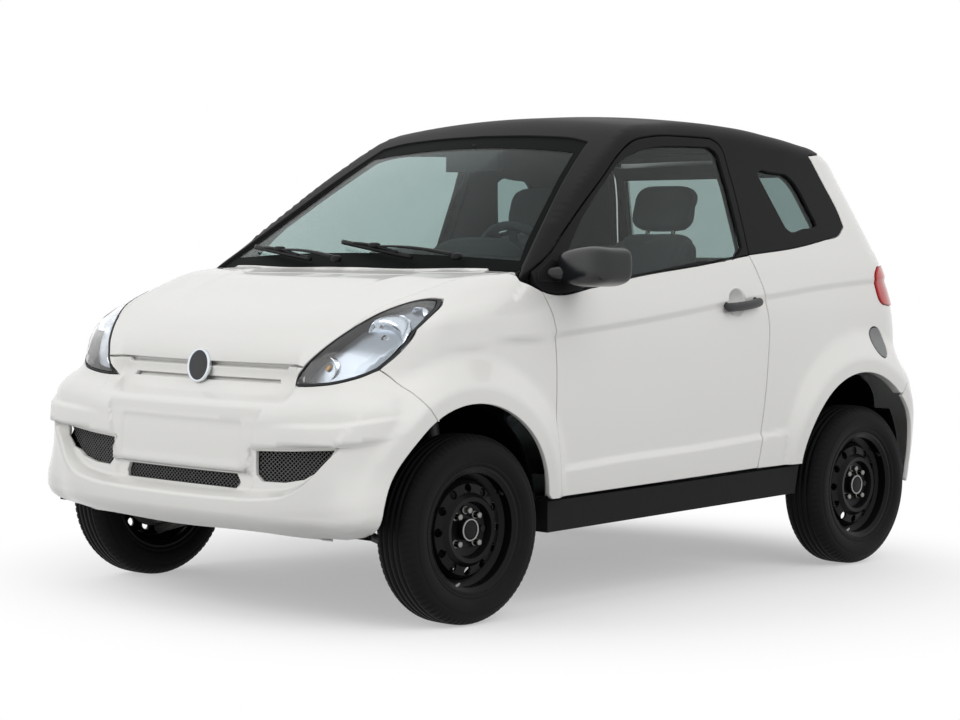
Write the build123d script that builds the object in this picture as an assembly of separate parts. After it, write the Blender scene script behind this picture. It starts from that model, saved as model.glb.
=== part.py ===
"""Two-seat microcar: white body, black roof, four steel wheels. Millimetres.

Frame: +Z up, the car faces -Y, +X is its left side. Every sub-part is drawn about the car's middle
plane. The files' origin is on the ground, below the middle of the whole box, mirror included: the car
has a mirror on its left side only.
"""

import os
from math import cos, radians, sin

from build123d import *

os.makedirs("parts", exist_ok=True)

# Driving dimensions
FRONT_AXLE_Y = -920
REAR_AXLE_Y = 950
TYRE_RADIUS = 266.5
TYRE_WIDTH = 150
RIM_RADIUS = 178.5
RIM_SEAT_RADIUS = 166
RIM_WIDTH = 126
WHEEL_X = 692
ARCH_RADIUS = 322
FRONT_ARCH = (FRONT_AXLE_Y - 20, 297)
REAR_ARCH = (REAR_AXLE_Y - 22, 325)
FLARE_X = 785
FLARE_BAND = 100
SHUT_GAP = 7
SKIN = 20
DOOR_THICKNESS = 62
PILLAR_THICKNESS = 40
GLASS = 5
ROOF_CROWN_RADIUS = 4000
BONNET_CROWN_RADIUS = 20000
PLATE_FRONT_Y = -1364
PLATE_REAR_Y = 1366
TOW_BORE_RADIUS = 8
DOOR_HINGE = (726, -512)
MIRROR_REACH = 949.8
BOX_MIDDLE_X = (MIRROR_REACH - FLARE_X) / 2

# Lower body outlines in plan, from the sill up
# height, front y, half width, rear y, front corner radius, rear corner radius
BODY_LEVELS = (
    (240, -1290, 722, 1318, 200, 180),
    (450, -1300, 742, 1332, 210, 200),
    (680, -1303, 744, 1338, 220, 230),
    (840, -1225, 735, 1330, 215, 235),
    (950, -1010, 714, 1300, 205, 230),
    (1090, -700, 673, 1232, 200, 210),
)
# Bumper outlines in plan, same columns
BUMPER_LEVELS = (
    (215, -1356, 772, 1352, 150, 120),
    (330, -1378, 789, 1378, 150, 120),
    (450, -1380, 791, 1380, 150, 120),
    (560, -1368, 789, 1372, 155, 125),
    (650, -1318, 776, 1345, 175, 150),
)
# Greenhouse outlines in plan, same columns: its front lies ahead of the windscreen
GREENHOUSE_LEVELS = (
    (880, -1100, 724, 1325, 60, 220),
    (1000, -1000, 706, 1285, 60, 215),
    (1180, -900, 641, 1215, 60, 200),
    (1350, -800, 577, 1140, 60, 180),
    (1520, -700, 520, 1080, 60, 160),
)
# Facet on top of each wing, from its upper edge down to its lower edge: y, upper x and z, lower x and z
WING_FACET = (
    (-1320, 560, 848, 727, 790),
    (-985, 620, 929, 727, 861),
    (-440, 712, 1052, 727, 932),
)
FRONT_BOW = 55
REAR_BOW = 18
SIDE_TUCK = 12

# Side views, y and z
BONNET_LINE = (
    (-1268, 655),
    (-1281, 725),
    (-1224, 844),
    (-1096, 904),
    (-980, 943),
    (-841, 972),
    (-700, 990),
)
ROOF_LINE = (
    (-880, 880),
    (-640, 1052),
    (-400, 1229),
    (-138, 1414),
    (-55, 1452),
    (178, 1487),
    (487, 1489),
    (817, 1457),
    (1112, 1405),
    (1200, 1210),
    (1285, 1020),
    (1330, 880),
)
DOOR_LOWER = (
    (-604, 934),
    (-576, 845),
    (-568, 700),
    (-573, 499),
    (-563, 336),
    (386, 358),
    (424, 542),
    (447, 701),
    (455, 829),
    (426, 941),
    (398, 1037),
    (126, 1001),
    (-201, 958),
    (-400, 940),
)
DOOR_FRAME = (
    (-604, 934),
    (-640, 985),
    (-556, 1034),
    (-478, 1093),
    (-355, 1182),
    (-224, 1272),
    (-118, 1346),
    (-40, 1388),
    (60, 1408),
    (360, 1412),
    (400, 1395),
    (410, 1290),
    (402, 1100),
    (398, 1025),
    (126, 989),
    (-201, 946),
    (-400, 930),
)
DOOR_PANE = (
    (-505, 985),
    (-448, 1062),
    (-233, 1244),
    (-112, 1323),
    (39, 1365),
    (345, 1380),
    (376, 1290),
    (372, 1052),
    (126, 1018),
    (-201, 975),
)
# Front view of the left door's reach inboard
DOOR_INNER = (
    (640, 200),
    (640, 960),
    (634, 1034),
    (611, 1093),
    (574, 1182),
    (536, 1272),
    (512, 1346),
    (500, 1430),
    (900, 1430),
    (900, 200),
)
QUARTER_PANE = (
    (440, 1060),
    (432, 1360),
    (800, 1345),
    (960, 1130),
    (930, 1105),
    (663, 1080),
)
SILL = (
    (-600, 232),
    (-600, 322),
    (620, 352),
    (600, 262),
)
# Front views, x and z, of the left side
HEADLAMP = (
    (404, 662),
    (570, 677),
    (660, 722),
    (705, 790),
    (700, 860),
    (664, 908),
    (610, 860),
    (545, 798),
    (490, 752),
    (411, 722),
)
WINDSCREEN = (
    (-658, 960),
    (658, 960),
    (656, 1000),
    (455, 1384),
    (-455, 1384),
    (-656, 1000),
)
TAILGATE = (
    (-560, 640),
    (560, 640),
    (585, 860),
    (560, 1030),
    (468, 1345),
    (420, 1392),
    (-420, 1392),
    (-468, 1345),
    (-560, 1030),
    (-585, 860),
)
# Side view of the front of the tailgate's opening
TAILGATE_SIDE = (
    (1086, 1392),
    (1020, 1300),
    (1120, 1000),
    (1180, 640),
    (1500, 640),
    (1500, 1392),
)
REAR_PANE = (
    (-500, 1030),
    (500, 1030),
    (430, 1325),
    (-430, 1325),
)
# Top view, x and y
BONNET_PLAN = (
    (-640, -668),
    (-598, -905),
    (-570, -1000),
    (-532, -1168),
    (-560, -1200),
    (-560, -1300),
    (560, -1300),
    (560, -1200),
    (532, -1168),
    (570, -1000),
    (598, -905),
    (640, -668),
    (330, -765),
    (0, -795),
    (-330, -765),
)
# Side view of the line between bumper and wing, y and z
BUMPER_EDGE = (
    (-1192, 722),
    (-1178, 671),
    (-1120, 624),
    (-1080, 560),
    (-1080, 150),
    (-1500, 150),
    (-1500, 722),
)


def save(name, shape):
    """Write one sub-part as its own file, in the files' frame."""
    shape = Pos(-BOX_MIDDLE_X, 0, 0) * shape
    shape.label = name
    export_step(shape, "parts/" + name + ".step")


def both(shape):
    """A left-hand shape and its mirror image, as one group."""
    return Compound(children=[*shape.solids(), *mirror(shape, Plane.YZ).solids()])


def group(*shapes):
    """Shapes that share a node without touching."""
    return Compound(children=[solid for shape in shapes for solid in shape.solids()])


def solid_only(shape, least=200):
    """The solids of a cut, without crumbs."""
    kept = [solid for solid in shape.solids() if solid.volume > least]
    return kept[0] if len(kept) == 1 else Compound(children=kept)


def side_prism(points, low_x, high_x, grow=0):
    """A side-view outline pushed through from low_x to high_x."""
    face = Plane.YZ * make_face(Polyline(*points, close=True))
    if grow:
        face = Plane.YZ * offset(make_face(Polyline(*points, close=True)), grow, kind=Kind.INTERSECTION)
    return Pos(low_x, 0, 0) * extrude(face, high_x - low_x, dir=(1, 0, 0))


def front_prism(points, low_y, high_y, grow=0):
    """A front-view outline pushed through from low_y to high_y."""
    flat = make_face(Polyline(*[(x, -z) for x, z in points], close=True))
    if grow:
        flat = offset(flat, grow, kind=Kind.INTERSECTION)
    return Pos(0, low_y, 0) * extrude(Plane.XZ.reverse() * flat, high_y - low_y, dir=(0, 1, 0))


def top_prism(points, low_z, high_z, grow=0):
    """A top-view outline pushed through from low_z to high_z."""
    flat = make_face(Polyline(*points, close=True))
    if grow:
        flat = offset(flat, grow, kind=Kind.INTERSECTION)
    return Pos(0, 0, low_z) * extrude(flat, high_z - low_z)


def block(low, high):
    """A box between two corners."""
    size = [high[i] - low[i] for i in range(3)]
    return Pos(*[(low[i] + high[i]) / 2 for i in range(3)]) * Box(*size)


def rod(start, end, radius):
    """A round bar between two points."""
    axis = Vector(*end) - Vector(*start)
    return Plane(Vector(*start), z_dir=axis) * Cylinder(
        radius, axis.length, align=(Align.CENTER, Align.CENTER, Align.MIN)
    )


def plan_face(level, inset):
    """One closed plan outline of lines and arcs at its height."""
    z, front, half, rear, front_corner, rear_corner = level
    front += inset
    half -= inset
    rear -= inset
    front_corner = max(front_corner - inset, 30)
    rear_corner = max(rear_corner - inset, 30)
    end = half - SIDE_TUCK
    corner_y = front + FRONT_BOW * (1 if front_corner > 100 else 0.2)
    rear_y = rear - REAR_BOW
    bend = 1 - cos(radians(45))
    x_front = end - front_corner
    x_rear = end - rear_corner
    mid_y = (front + rear) / 2
    right = [
        ((end - front_corner * bend, corner_y + front_corner * bend), (end, corner_y + front_corner)),
        ((half, mid_y), (end, rear_y - rear_corner)),
        ((end - rear_corner * bend, rear_y - rear_corner * bend), (x_rear, rear_y)),
    ]
    stops = [((0, front), (x_front, corner_y))] + right
    stops += [((0, rear), (-x_rear, rear_y))]
    stops += [
        ((-right[2][0][0], right[2][0][1]), (-end, rear_y - rear_corner)),
        ((-half, mid_y), (-end, corner_y + front_corner)),
        ((-right[0][0][0], right[0][0][1]), (-x_front, corner_y)),
    ]
    edges = []
    start = (-x_front, corner_y)
    for via, stop in stops:
        edges.append(ThreePointArc(start, via, stop))
        start = stop
    return Pos(0, 0, z) * make_face(edges)


def crowned(points, radius, inset):
    """A side-view outline turned about an axis far below, so that its top is crowned."""
    floor_z = 100
    outline = [*points, (points[-1][0], floor_z), (points[0][0], floor_z)]
    flat = make_face(Polyline(*outline, close=True))
    if inset:
        flat = offset(flat, -inset, kind=Kind.INTERSECTION)
    face = Plane.YZ * flat
    top = max(z for _, z in points)
    axis = Axis((0, 0, top - radius), (0, 1, 0))
    spread = 2 * 57.2958 * 860 / radius
    return revolve(face.rotate(axis, -spread / 2), axis, spread)


def facet_waste(inset):
    """What the left wing's facet takes off the body."""
    faces = []
    for y, high_x, high_z, low_x, low_z in WING_FACET:
        run = (Vector(low_x, 0, low_z) - Vector(high_x, 0, high_z)).normalized()
        normal = Vector(-run.Z, 0, run.X)
        high = Vector(high_x, y, high_z) - run * 60 - normal * inset
        low = Vector(low_x, y, low_z) + run * 60 - normal * inset
        faces.append(make_face(Polyline(high, low, low + normal * 120, high + normal * 120, close=True)))
    return loft(faces, ruled=True)


def lower_hull(inset):
    """Body below the belt."""
    plan = loft([plan_face(level, inset) for level in BODY_LEVELS])
    line = [*BONNET_LINE, (-640, 1001), (-500, 1006), (400, 1060), (1340, 1090)]
    waste = facet_waste(inset)
    return (plan & crowned([(-1268, 300), *line], BONNET_CROWN_RADIUS, inset)) - waste - mirror(waste, Plane.YZ)


def bumper_hull(inset):
    """Both bumpers, out to the side panels."""
    ring = loft([plan_face(level, inset) for level in BUMPER_LEVELS])
    return ring & (block((-900, -1500, 0), (900, -1030, 900)) + block((-900, 1130, 0), (900, 1500, 900)))


def greenhouse(inset):
    """Roof, pillars and glass as one closed form."""
    plan = loft([plan_face(level, inset) for level in GREENHOUSE_LEVELS])
    return plan & crowned(ROOF_LINE, ROOF_CROWN_RADIUS, inset)


def arch_drum(arch, radius, low_x, high_x):
    """A drum across the car at a wheel arch."""
    return Pos((low_x + high_x) / 2, *arch) * Rot(0, 90, 0) * Cylinder(radius, high_x - low_x)


def flare(arch):
    """The left wheel arch's outer band."""
    y = arch[0]
    reach = ARCH_RADIUS + FLARE_BAND
    near = ARCH_RADIUS + 8
    limit_edges = [
        ThreePointArc((752, y - near), (FLARE_X, y), (752, y + near)),
        ThreePointArc((752, y + near), (728, y + near + 62), (680, y + near + 110)),
        Polyline((680, y + near + 110), (500, y + near + 110), (500, y - near - 110), (680, y - near - 110)),
        ThreePointArc((680, y - near - 110), (728, y - near - 62), (752, y - near)),
    ]
    limit = extrude(make_face(limit_edges), 900)
    band = arch_drum(arch, reach, 690, 800)
    slope = Pos(745, *arch) * Rot(0, 90, 0) * Cone(reach, reach - 60, 90)
    return (band & slope & limit) - block((600, y - 600, 0), (900, y + 600, 245))


def wheel(side, axle_y):
    """Rim and tyre of one wheel; side is 1 for left."""
    place = Pos(side * WHEEL_X, axle_y, TYRE_RADIUS) * Rot(0, 90 * side, 0)
    half_rim = RIM_WIDTH / 2
    half_tyre = TYRE_WIDTH / 2
    # radius, distance outboard of the wheel's middle
    barrel = (
        (RIM_RADIUS, half_rim),
        (RIM_RADIUS, half_rim - 5),
        (RIM_SEAT_RADIUS, half_rim - 12),
        (RIM_SEAT_RADIUS, 25),
        (148, 12),
        (148, -20),
        (RIM_SEAT_RADIUS, -34),
        (RIM_SEAT_RADIUS, 12 - half_rim),
        (RIM_RADIUS, 5 - half_rim),
        (RIM_RADIUS, -half_rim),
        (172, -half_rim),
        (160, 8 - half_rim),
        (160, -30),
        (142, -16),
        (142, 14),
        (160, 27),
        (160, half_rim - 8),
        (172, half_rim),
    )
    disc = (
        (0, 24),
        (50, 24),
        (74, 30),
        (80, 52),
        (92, 54),
        (104, 40),
        (128, 34),
        (144, 6),
        (144, -2),
        (124, 28),
        (100, 33),
        (90, 47),
        (84, 46),
        (78, 24),
        (66, 18),
        (0, 18),
    )
    rim = revolve(Plane.XZ * make_face(Polyline(*barrel, close=True)), Axis.Z)
    rim += revolve(Plane.XZ * make_face(Polyline(*disc, close=True)), Axis.Z)
    rim += Pos(0, 0, 34) * Cylinder(31, 24)
    vents = [Rot(0, 0, 30 * k) * Pos(116, 0, 30) * Cylinder(12.5, 40) for k in range(12)]
    rim -= vents
    bolts = [Rot(0, 0, angle) * Pos(54, 0, 32) * Cylinder(9, 22) for angle in (45, 90, 135, 225, 315)]
    rim += bolts
    tread = half_tyre - 18
    tyre_half = [
        (RIM_SEAT_RADIUS, half_rim - 12),
        (RIM_RADIUS + 2, half_rim - 1),
        (196, half_tyre - 4),
        (216, half_tyre),
        (238, half_tyre - 4),
        (257, half_tyre - 16),
        (TYRE_RADIUS - 1, tread - 10),
        (TYRE_RADIUS, tread - 22),
    ]
    outline = tyre_half + [(r, -z) for r, z in reversed(tyre_half)]
    tyre = revolve(Plane.XZ * make_face(Polyline(*outline, close=True)), Axis.Z)
    return place * rim, place * (tyre - rim)


# Bodywork
outer = lower_hull(0) + bumper_hull(0)
flares = flare(FRONT_ARCH) + flare(REAR_ARCH)
outer = outer + flares + mirror(flares, Plane.YZ)
skin_inner = lower_hull(SKIN) + bumper_hull(SKIN)
wall_inner = loft([plan_face(level, DOOR_THICKNESS) for level in BODY_LEVELS])
glasshouse = greenhouse(0)
glass_inner = greenhouse(GLASS)
pillar_inner = greenhouse(PILLAR_THICKNESS)

wheel_wells = [
    arch_drum(arch, ARCH_RADIUS, low, high)
    for arch in (FRONT_ARCH, REAR_ARCH)
    for low, high in ((470, 900), (-900, -470))
]
skin_shell = outer - skin_inner - wheel_wells
wall_shell = outer - wall_inner - wheel_wells
pillar_shell = glasshouse - pillar_inner
glass_shell = glasshouse - glass_inner

lamp_left = front_prism(HEADLAMP, -1400, -960)
lamps_gap = front_prism(HEADLAMP, -1400, -960, 3)
lamps_gap = lamps_gap + mirror(lamps_gap, Plane.YZ)
nose_box = block((-408, -1400, 657), (408, -1200, 722))
bonnet_zone = top_prism(BONNET_PLAN, 600, 1100)
bonnet_gap = top_prism(BONNET_PLAN, 600, 1100, SHUT_GAP)
bumper_zone = side_prism(BUMPER_EDGE, -900, 900)
bumper_gap = side_prism(BUMPER_EDGE, -900, 900, 2)
door_inner = front_prism(DOOR_INNER, -800, 600)
door_gap = side_prism(DOOR_LOWER, 300, 900, SHUT_GAP) + side_prism(DOOR_FRAME, 300, 900, SHUT_GAP)
door_gap = door_gap & front_prism(DOOR_INNER, -800, 600, SHUT_GAP)
door_gap = door_gap + mirror(door_gap, Plane.YZ)
tailgate_side = side_prism(TAILGATE_SIDE, -900, 900)
tailgate_zone = front_prism(TAILGATE, 1000, 1500) & tailgate_side
tailgate_gap = front_prism(TAILGATE, 1000, 1500, SHUT_GAP) & side_prism(TAILGATE_SIDE, -900, 900, SHUT_GAP)
above_grille = block((-900, -1500, 722 + SHUT_GAP), (900, -600, 1200))

bonnet = skin_shell & bonnet_zone & above_grille
bonnet = solid_only(bonnet - lamps_gap)
save("bonnet", bonnet)

bumper = (skin_shell & bumper_zone) - lamps_gap - front_prism(
    [(-411, 655), (411, 655), (411, 760), (-411, 760)], -1400, -1200
)
bumper -= block((-268, -1400, 441), (268, PLATE_FRONT_Y, 558))
bumper -= rod((-300, -1400, 330), (-300, -1300, 330), 17)
# mesh openings: low x, high x, low z, high z
MESHES = (
    (-240, 240, 380, 420),
    (345, 612, 408, 492),
    (-612, -345, 408, 492),
)
openings = [block((x0, -1450, z0), (x1, -1250, z1)) for x0, x1, z0, z1 in MESHES]
bumper = solid_only(bumper - openings)
save("front_bumper", bumper)

mesh_skin = bumper_hull(8) - bumper_hull(14)
save("bumper_mesh", group(*[mesh_skin & opening for opening in openings]))

slots = [block((-385, -1400, z), (385, -1200, z + 9)) for z in (672, 706)]
grille = (skin_shell & nose_box) - slots - lamps_gap
save("nose_grille", solid_only(grille))

lamp_shell = outer - lower_hull(70) - wheel_wells
lamp = solid_only((lamp_shell & lamp_left) - top_prism(BONNET_PLAN, 915, 1100, SHUT_GAP))
save("headlamps", both(lamp))

front_zone = block((300, -1300, 240), (900, -556 - SHUT_GAP, 1020))
cowl_zone = block((-650, -840, 900), (650, -600, 1100))
under_screen = block((-650, -840, 900), (650, -500, 1100))
wing = (skin_shell & front_zone) - bonnet_gap - bumper_gap - lamps_gap - door_gap - under_screen
sill = side_prism(SILL, 640, 738)
save("sills", both(sill))
wing = solid_only(wing - sill - block((300, -1400, 0), (700, -500, 560)), 2000)
save("wing_left", wing)
save("wing_right", mirror(wing, Plane.YZ))

cowl = ((outer - lower_hull(12)) & cowl_zone) - bonnet_gap - door_gap - glasshouse
save("cowl", solid_only(cowl, 3000))

screen_zone = front_prism(WINDSCREEN, -1000, 0)
windscreen = solid_only((glass_shell & screen_zone) - outer - door_gap, 3000)
save("windscreen", windscreen)

# Doors
lower_zone = side_prism(DOOR_LOWER, 300, 900)
frame_zone = side_prism(DOOR_FRAME, 300, 900)
pane_hole = side_prism(DOOR_PANE, 300, 900)
door = ((wall_shell & lower_zone) + (pillar_shell & frame_zone)) & door_inner
hinge_bore = Pos(*DOOR_HINGE, 0) * Cylinder(5, 3000)
door = solid_only(door - pane_hole - hinge_bore, 3000)
save("door_left", door)
save("door_right", mirror(door, Plane.YZ))
pane_shell = greenhouse(14) - greenhouse(14 + GLASS)
door_glass = solid_only(pane_shell & pane_hole)
save("door_glass_left", door_glass)
save("door_glass_right", mirror(door_glass, Plane.YZ))

HANDLE_AT = (738, 290, 900)
FLAP_AT = (1060, 745)
FLAP_RADIUS = 47
handle = Pos(*HANDLE_AT) * Pos(14, 0, 0) * Box(18, 190, 26)
for shift in (-72, 62):
    handle += Pos(*HANDLE_AT) * Pos(-8, shift, 0) * Box(40, 24, 22)
handle = handle - door
save("handle_left", solid_only(handle))
save("handle_right", mirror(solid_only(handle), Plane.YZ))

mirror_head = Pos(842, -520, 1000) * Rot(0, 0, -14) * Box(206, 128, 122)
mirror_head = fillet(mirror_head.edges(), 36)
mirror_foot = rod((668, -560, 968), (800, -535, 985), 24)
mirror_piece = (mirror_foot + mirror_head) - door
mirror_piece = solid_only(mirror_piece, 3000)
save("mirror_left", mirror_piece)

# Roof with its pillars
quarter_pane_hole = side_prism(QUARTER_PANE, 300, 900)
QUARTER_EDGE = ((395, 1020), (640, 1050), (905, 1082), (985, 1128), (830, 1372), (1090, 1372), (1500, 1372),
                (1500, 150), (395, 150))
quarter_zone = side_prism(QUARTER_EDGE, 300, 900)
quarter_zone = quarter_zone + mirror(quarter_zone, Plane.YZ)
above_belt = block((-900, -900, 925), (900, 1500, 1600))
roof = (pillar_shell & above_belt) - quarter_zone - tailgate_gap - door_gap - outer
roof = roof - front_prism(WINDSCREEN, -1000, 0, 2)
roof = roof - quarter_pane_hole - mirror(quarter_pane_hole, Plane.YZ)
roof = solid_only(roof, 20000)
save("roof", roof)
quarter_glass = solid_only(pane_shell & quarter_pane_hole)
save("quarter_windows", both(quarter_glass))

# Rear quarters with their C pillars
lamp_zone = block((300, 1080, 866), (900, 1400, 1012))
rear_zone = side_prism(QUARTER_EDGE, 300, 900)
quarter = (wall_shell & rear_zone) + (pillar_shell & rear_zone & block((0, 300, 925), (900, 1500, 1400)))
REAR_BUMPER_EDGE = ((1130, 740), (1236, 661), (1236, 640), (1500, 640), (1500, 150), (1200, 150), (1200, 600),
                    (1130, 700))
rear_bumper_zone = side_prism(REAR_BUMPER_EDGE, -900, 900)
quarter = quarter - rear_bumper_zone - tailgate_gap - door_gap - lamp_zone
quarter = quarter - block((300, 300, 0), (640, 1500, 560)) - block((300, 0, 0), (900, 700, 352))
fuel_flap = Pos(0, *FLAP_AT) * Rot(0, 90, 0) * Cylinder(FLAP_RADIUS, 2000)
flap_recess = block((716, 0, 0), (900, 1400, 900)) & (
    Pos(0, *FLAP_AT) * Rot(0, 90, 0) * Cylinder(FLAP_RADIUS + 6, 2000)
)
quarter = solid_only(quarter - flap_recess - sill, 20000)
save("quarter_left", quarter)
save("quarter_right", mirror(quarter, Plane.YZ))
tail_lamp = solid_only((wall_shell & lamp_zone & block((590, 0, 0), (900, 1500, 1500))), 3000)
save("tail_lamps", both(tail_lamp))
rear_bumper = (skin_shell & rear_bumper_zone) - tailgate_gap
rear_bumper -= block((-268, PLATE_REAR_Y, 441), (268, 1400, 558))
rear_bumper = solid_only(rear_bumper, 20000)
save("rear_bumper", rear_bumper)

tailgate = (wall_shell & tailgate_zone & block((-900, 1000, 648), (900, 1500, 1050)))
tailgate += pillar_shell & tailgate_zone & block((-900, 1000, 1000), (900, 1500, 1500))
rear_pane_hole = front_prism(REAR_PANE, 900, 1500)
tailgate = solid_only(tailgate - rear_pane_hole, 20000)
save("tailgate", tailgate)
save("tailgate_glass", solid_only(pane_shell & rear_pane_hole))

fuel_flap = (outer & fuel_flap & block((724, 900, 600), (900, 1200, 900))).translate((2, 0, 0))
save("fuel_flap", solid_only(fuel_flap))

# Platform: floor, rails, firewall and boot floor in one frame
platform = block((-625, -640, 262), (625, 600, 276))
for side in (-1, 1):
    platform += block((side * 330 - 28, -1240, 246), (side * 330 + 28, -740, 286))
    platform += block((side * 330 - 28, -760, 222), (side * 330 + 28, 640, 262))
    platform += block((side * 330 - 28, 600, 262), (side * 330 + 28, 1300, 366))
platform += block((-600, -640, 262), (600, -626, 900))
platform += block((-358, -1290, 264), (358, -1240, 420))
platform += block((-450, 590, 262), (450, 604, 380))
platform += block((-450, 590, 366), (450, 1230, 380))
platform += block((-358, 1270, 300), (358, 1310, 380))
platform += block((-358, 590, 300), (358, 640, 366))
platform += rod((-300, -1285, 330), (-300, -1330, 330), 22)
platform -= rod((-300, -1300, 330), (-300, -1331, 330), TOW_BORE_RADIUS)
steered_room = Pos(630, FRONT_AXLE_Y, 0) * Cylinder(307, 1090) & block((400, -700, 0), (900, -500, 545))
platform = platform - steered_room - mirror(steered_room, Plane.YZ)
save("platform", platform)

engine = block((-300, -1180, 300), (280, -730, 690))
save("engine_block", fillet(engine.edges(), 12))

liners = []
for arch in (FRONT_ARCH, REAR_ARCH):
    liner = arch_drum(arch, ARCH_RADIUS + 7, 463, 700) - arch_drum(arch, ARCH_RADIUS, 470, 900)
    liners.append(liner & block((400, -1500, 262), (700, 1500, 900)))
strut_low = Vector(650, FRONT_AXLE_Y, 160)
strut_top = Vector(530, FRONT_AXLE_Y + 15, 800)
strut_hole = rod(tuple(strut_low), tuple(strut_top), 62)
liners[0] = liners[0] - strut_hole - wing - bumper - platform - lamp
liners[1] = liners[1] - quarter - rear_bumper - platform - sill - rod((400, 830, 262), (500, 830, 262), 31)
liners = [solid_only(liner, 3000) for liner in liners]
save("arch_liners", group(both(liners[0]), both(liners[1])))

# Running gear
axis = (strut_top - strut_low).normalized()


def along(z):
    """The point of the left steering axis at a height."""
    return strut_low + axis * ((z - strut_low.Z) / axis.Z)


knuckle = rod((640, FRONT_AXLE_Y, TYRE_RADIUS), (704, FRONT_AXLE_Y, TYRE_RADIUS), 32)
knuckle += rod((672, FRONT_AXLE_Y, TYRE_RADIUS), (684, FRONT_AXLE_Y, TYRE_RADIUS), 112)
knuckle += rod((600, FRONT_AXLE_Y, TYRE_RADIUS), (650, FRONT_AXLE_Y, TYRE_RADIUS), 48)
knuckle += rod(tuple(along(172)), tuple(along(360)), 22)
knuckle += rod(tuple(along(340)), tuple(along(790)), 18)
knuckle += rod(tuple(along(590)), tuple(along(760)), 44)
knuckle += rod((615, FRONT_AXLE_Y, 230), (560, FRONT_AXLE_Y + 120, 230), 12)
save("knuckle_left", knuckle)
save("knuckle_right", mirror(knuckle, Plane.YZ))

arm = rod((350, FRONT_AXLE_Y - 90, 246), (640, FRONT_AXLE_Y, 148), 13)
arm += rod((350, FRONT_AXLE_Y + 130, 246), (640, FRONT_AXLE_Y, 148), 13)
arm += Pos(*tuple(along(150))) * Sphere(15)
tower = Pos(*tuple(along(815))) * Cylinder(60, 12)
tower += block((420, FRONT_AXLE_Y - 45, 809), (530, FRONT_AXLE_Y + 75, 821))
tower += block((420, FRONT_AXLE_Y - 45, 690), (432, FRONT_AXLE_Y + 75, 821))
arm = arm - platform
save("front_arms", group(both(arm), both(tower)))

beam = rod((-560, 830, 262), (560, 830, 262), 26)
for side in (-1, 1):
    beam += rod((side * 540, 700, 250), (side * 585, REAR_AXLE_Y, TYRE_RADIUS), 24)
    beam += rod((side * 560, REAR_AXLE_Y, TYRE_RADIUS), (side * 704, REAR_AXLE_Y, TYRE_RADIUS), 30)
    beam += rod((side * 648, REAR_AXLE_Y, TYRE_RADIUS), (side * 700, REAR_AXLE_Y, TYRE_RADIUS), 92)
    beam += rod((side * 560, 900, 275), (side * 520, 890, 560), 22)
save("rear_axle", beam - platform)

exhaust = rod((-150, -700, 237), (-150, 560, 237), 17)
exhaust += rod((-150, 555, 237), (-150, 760, 212), 17)
exhaust += rod((-150, 755, 212), (-150, 1010, 212), 17)
exhaust += rod((-150, 990, 280), (-150, 1230, 280), 58)
exhaust += rod((-150, 1225, 262), (-150, 1338, 250), 19)
save("exhaust", exhaust - platform - beam)

CORNERS = (
    ("front_left", 1, FRONT_AXLE_Y),
    ("front_right", -1, FRONT_AXLE_Y),
    ("rear_left", 1, REAR_AXLE_Y),
    ("rear_right", -1, REAR_AXLE_Y),
)
for name, side, axle_y in CORNERS:
    rim, tyre = wheel(side, axle_y)
    save("rim_" + name, rim)
    save("tyre_" + name, tyre)

# Cabin
DASH_SIDE = (
    (-622, 560),
    (-622, 935),
    (-500, 960),
    (-400, 945),
    (-352, 900),
    (-360, 780),
    (-440, 690),
    (-440, 560),
)
WHEEL_CENTRE = (325, -250, 962)
WHEEL_TILT = 28
dash = side_prism(DASH_SIDE, -560, 560)
wheel_plane = Pos(*WHEEL_CENTRE) * Rot(WHEEL_TILT - 90, 0, 0)
shroud = wheel_plane * Pos(0, 0, -98) * Cylinder(34, 172)
dash = dash + shroud
save("dashboard", dash)

steering_wheel = Torus(178, 14) + Pos(0, 0, 12) * Cylinder(52, 30)
for angle in (0, 130, 230):
    steering_wheel += Rot(0, 0, angle - 90) * Pos(110, 0, 4) * Box(134, 30, 9)
save("steering_wheel", wheel_plane * steering_wheel)

# Seats: cushion, back, headrest and base in one solid each
SEAT_X = 285
SEAT_BACK_LEAN = 16
seat = block((SEAT_X - 235, -220, 350), (SEAT_X + 235, 290, 500))
seat = fillet(seat.edges(), 30)
seat += block((SEAT_X - 190, -170, 276), (SEAT_X + 190, 250, 365))
recline = Pos(SEAT_X, 252, 430) * Rot(-SEAT_BACK_LEAN, 0, 0)
seat += recline * Pos(0, 0, 330) * fillet(Box(450, 110, 660).edges(), 36)
seat += recline * Pos(0, -4, 785) * fillet(Box(270, 86, 170).edges(), 34)
seat += recline * Pos(0, 0, 680) * Box(120, 20, 60)
save("seats", both(seat))

inner_mirror = Pos(0, -152, 1330) * Box(230, 24, 66)
inner_mirror += rod((0, -152, 1340), (0, -150, 1392), 7)
save("inner_mirror", solid_only(inner_mirror - windscreen - roof))


SCREEN_FOOT = (-640, 1052)
SCREEN_SLOPE = 0.7205


def glass_y(x, z, above):
    """The windscreen's outer face, moved forward by a clearance."""
    rise = z + x * x / (2 * ROOF_CROWN_RADIUS) - SCREEN_FOOT[1]
    return SCREEN_FOOT[0] + rise / SCREEN_SLOPE - above


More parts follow.
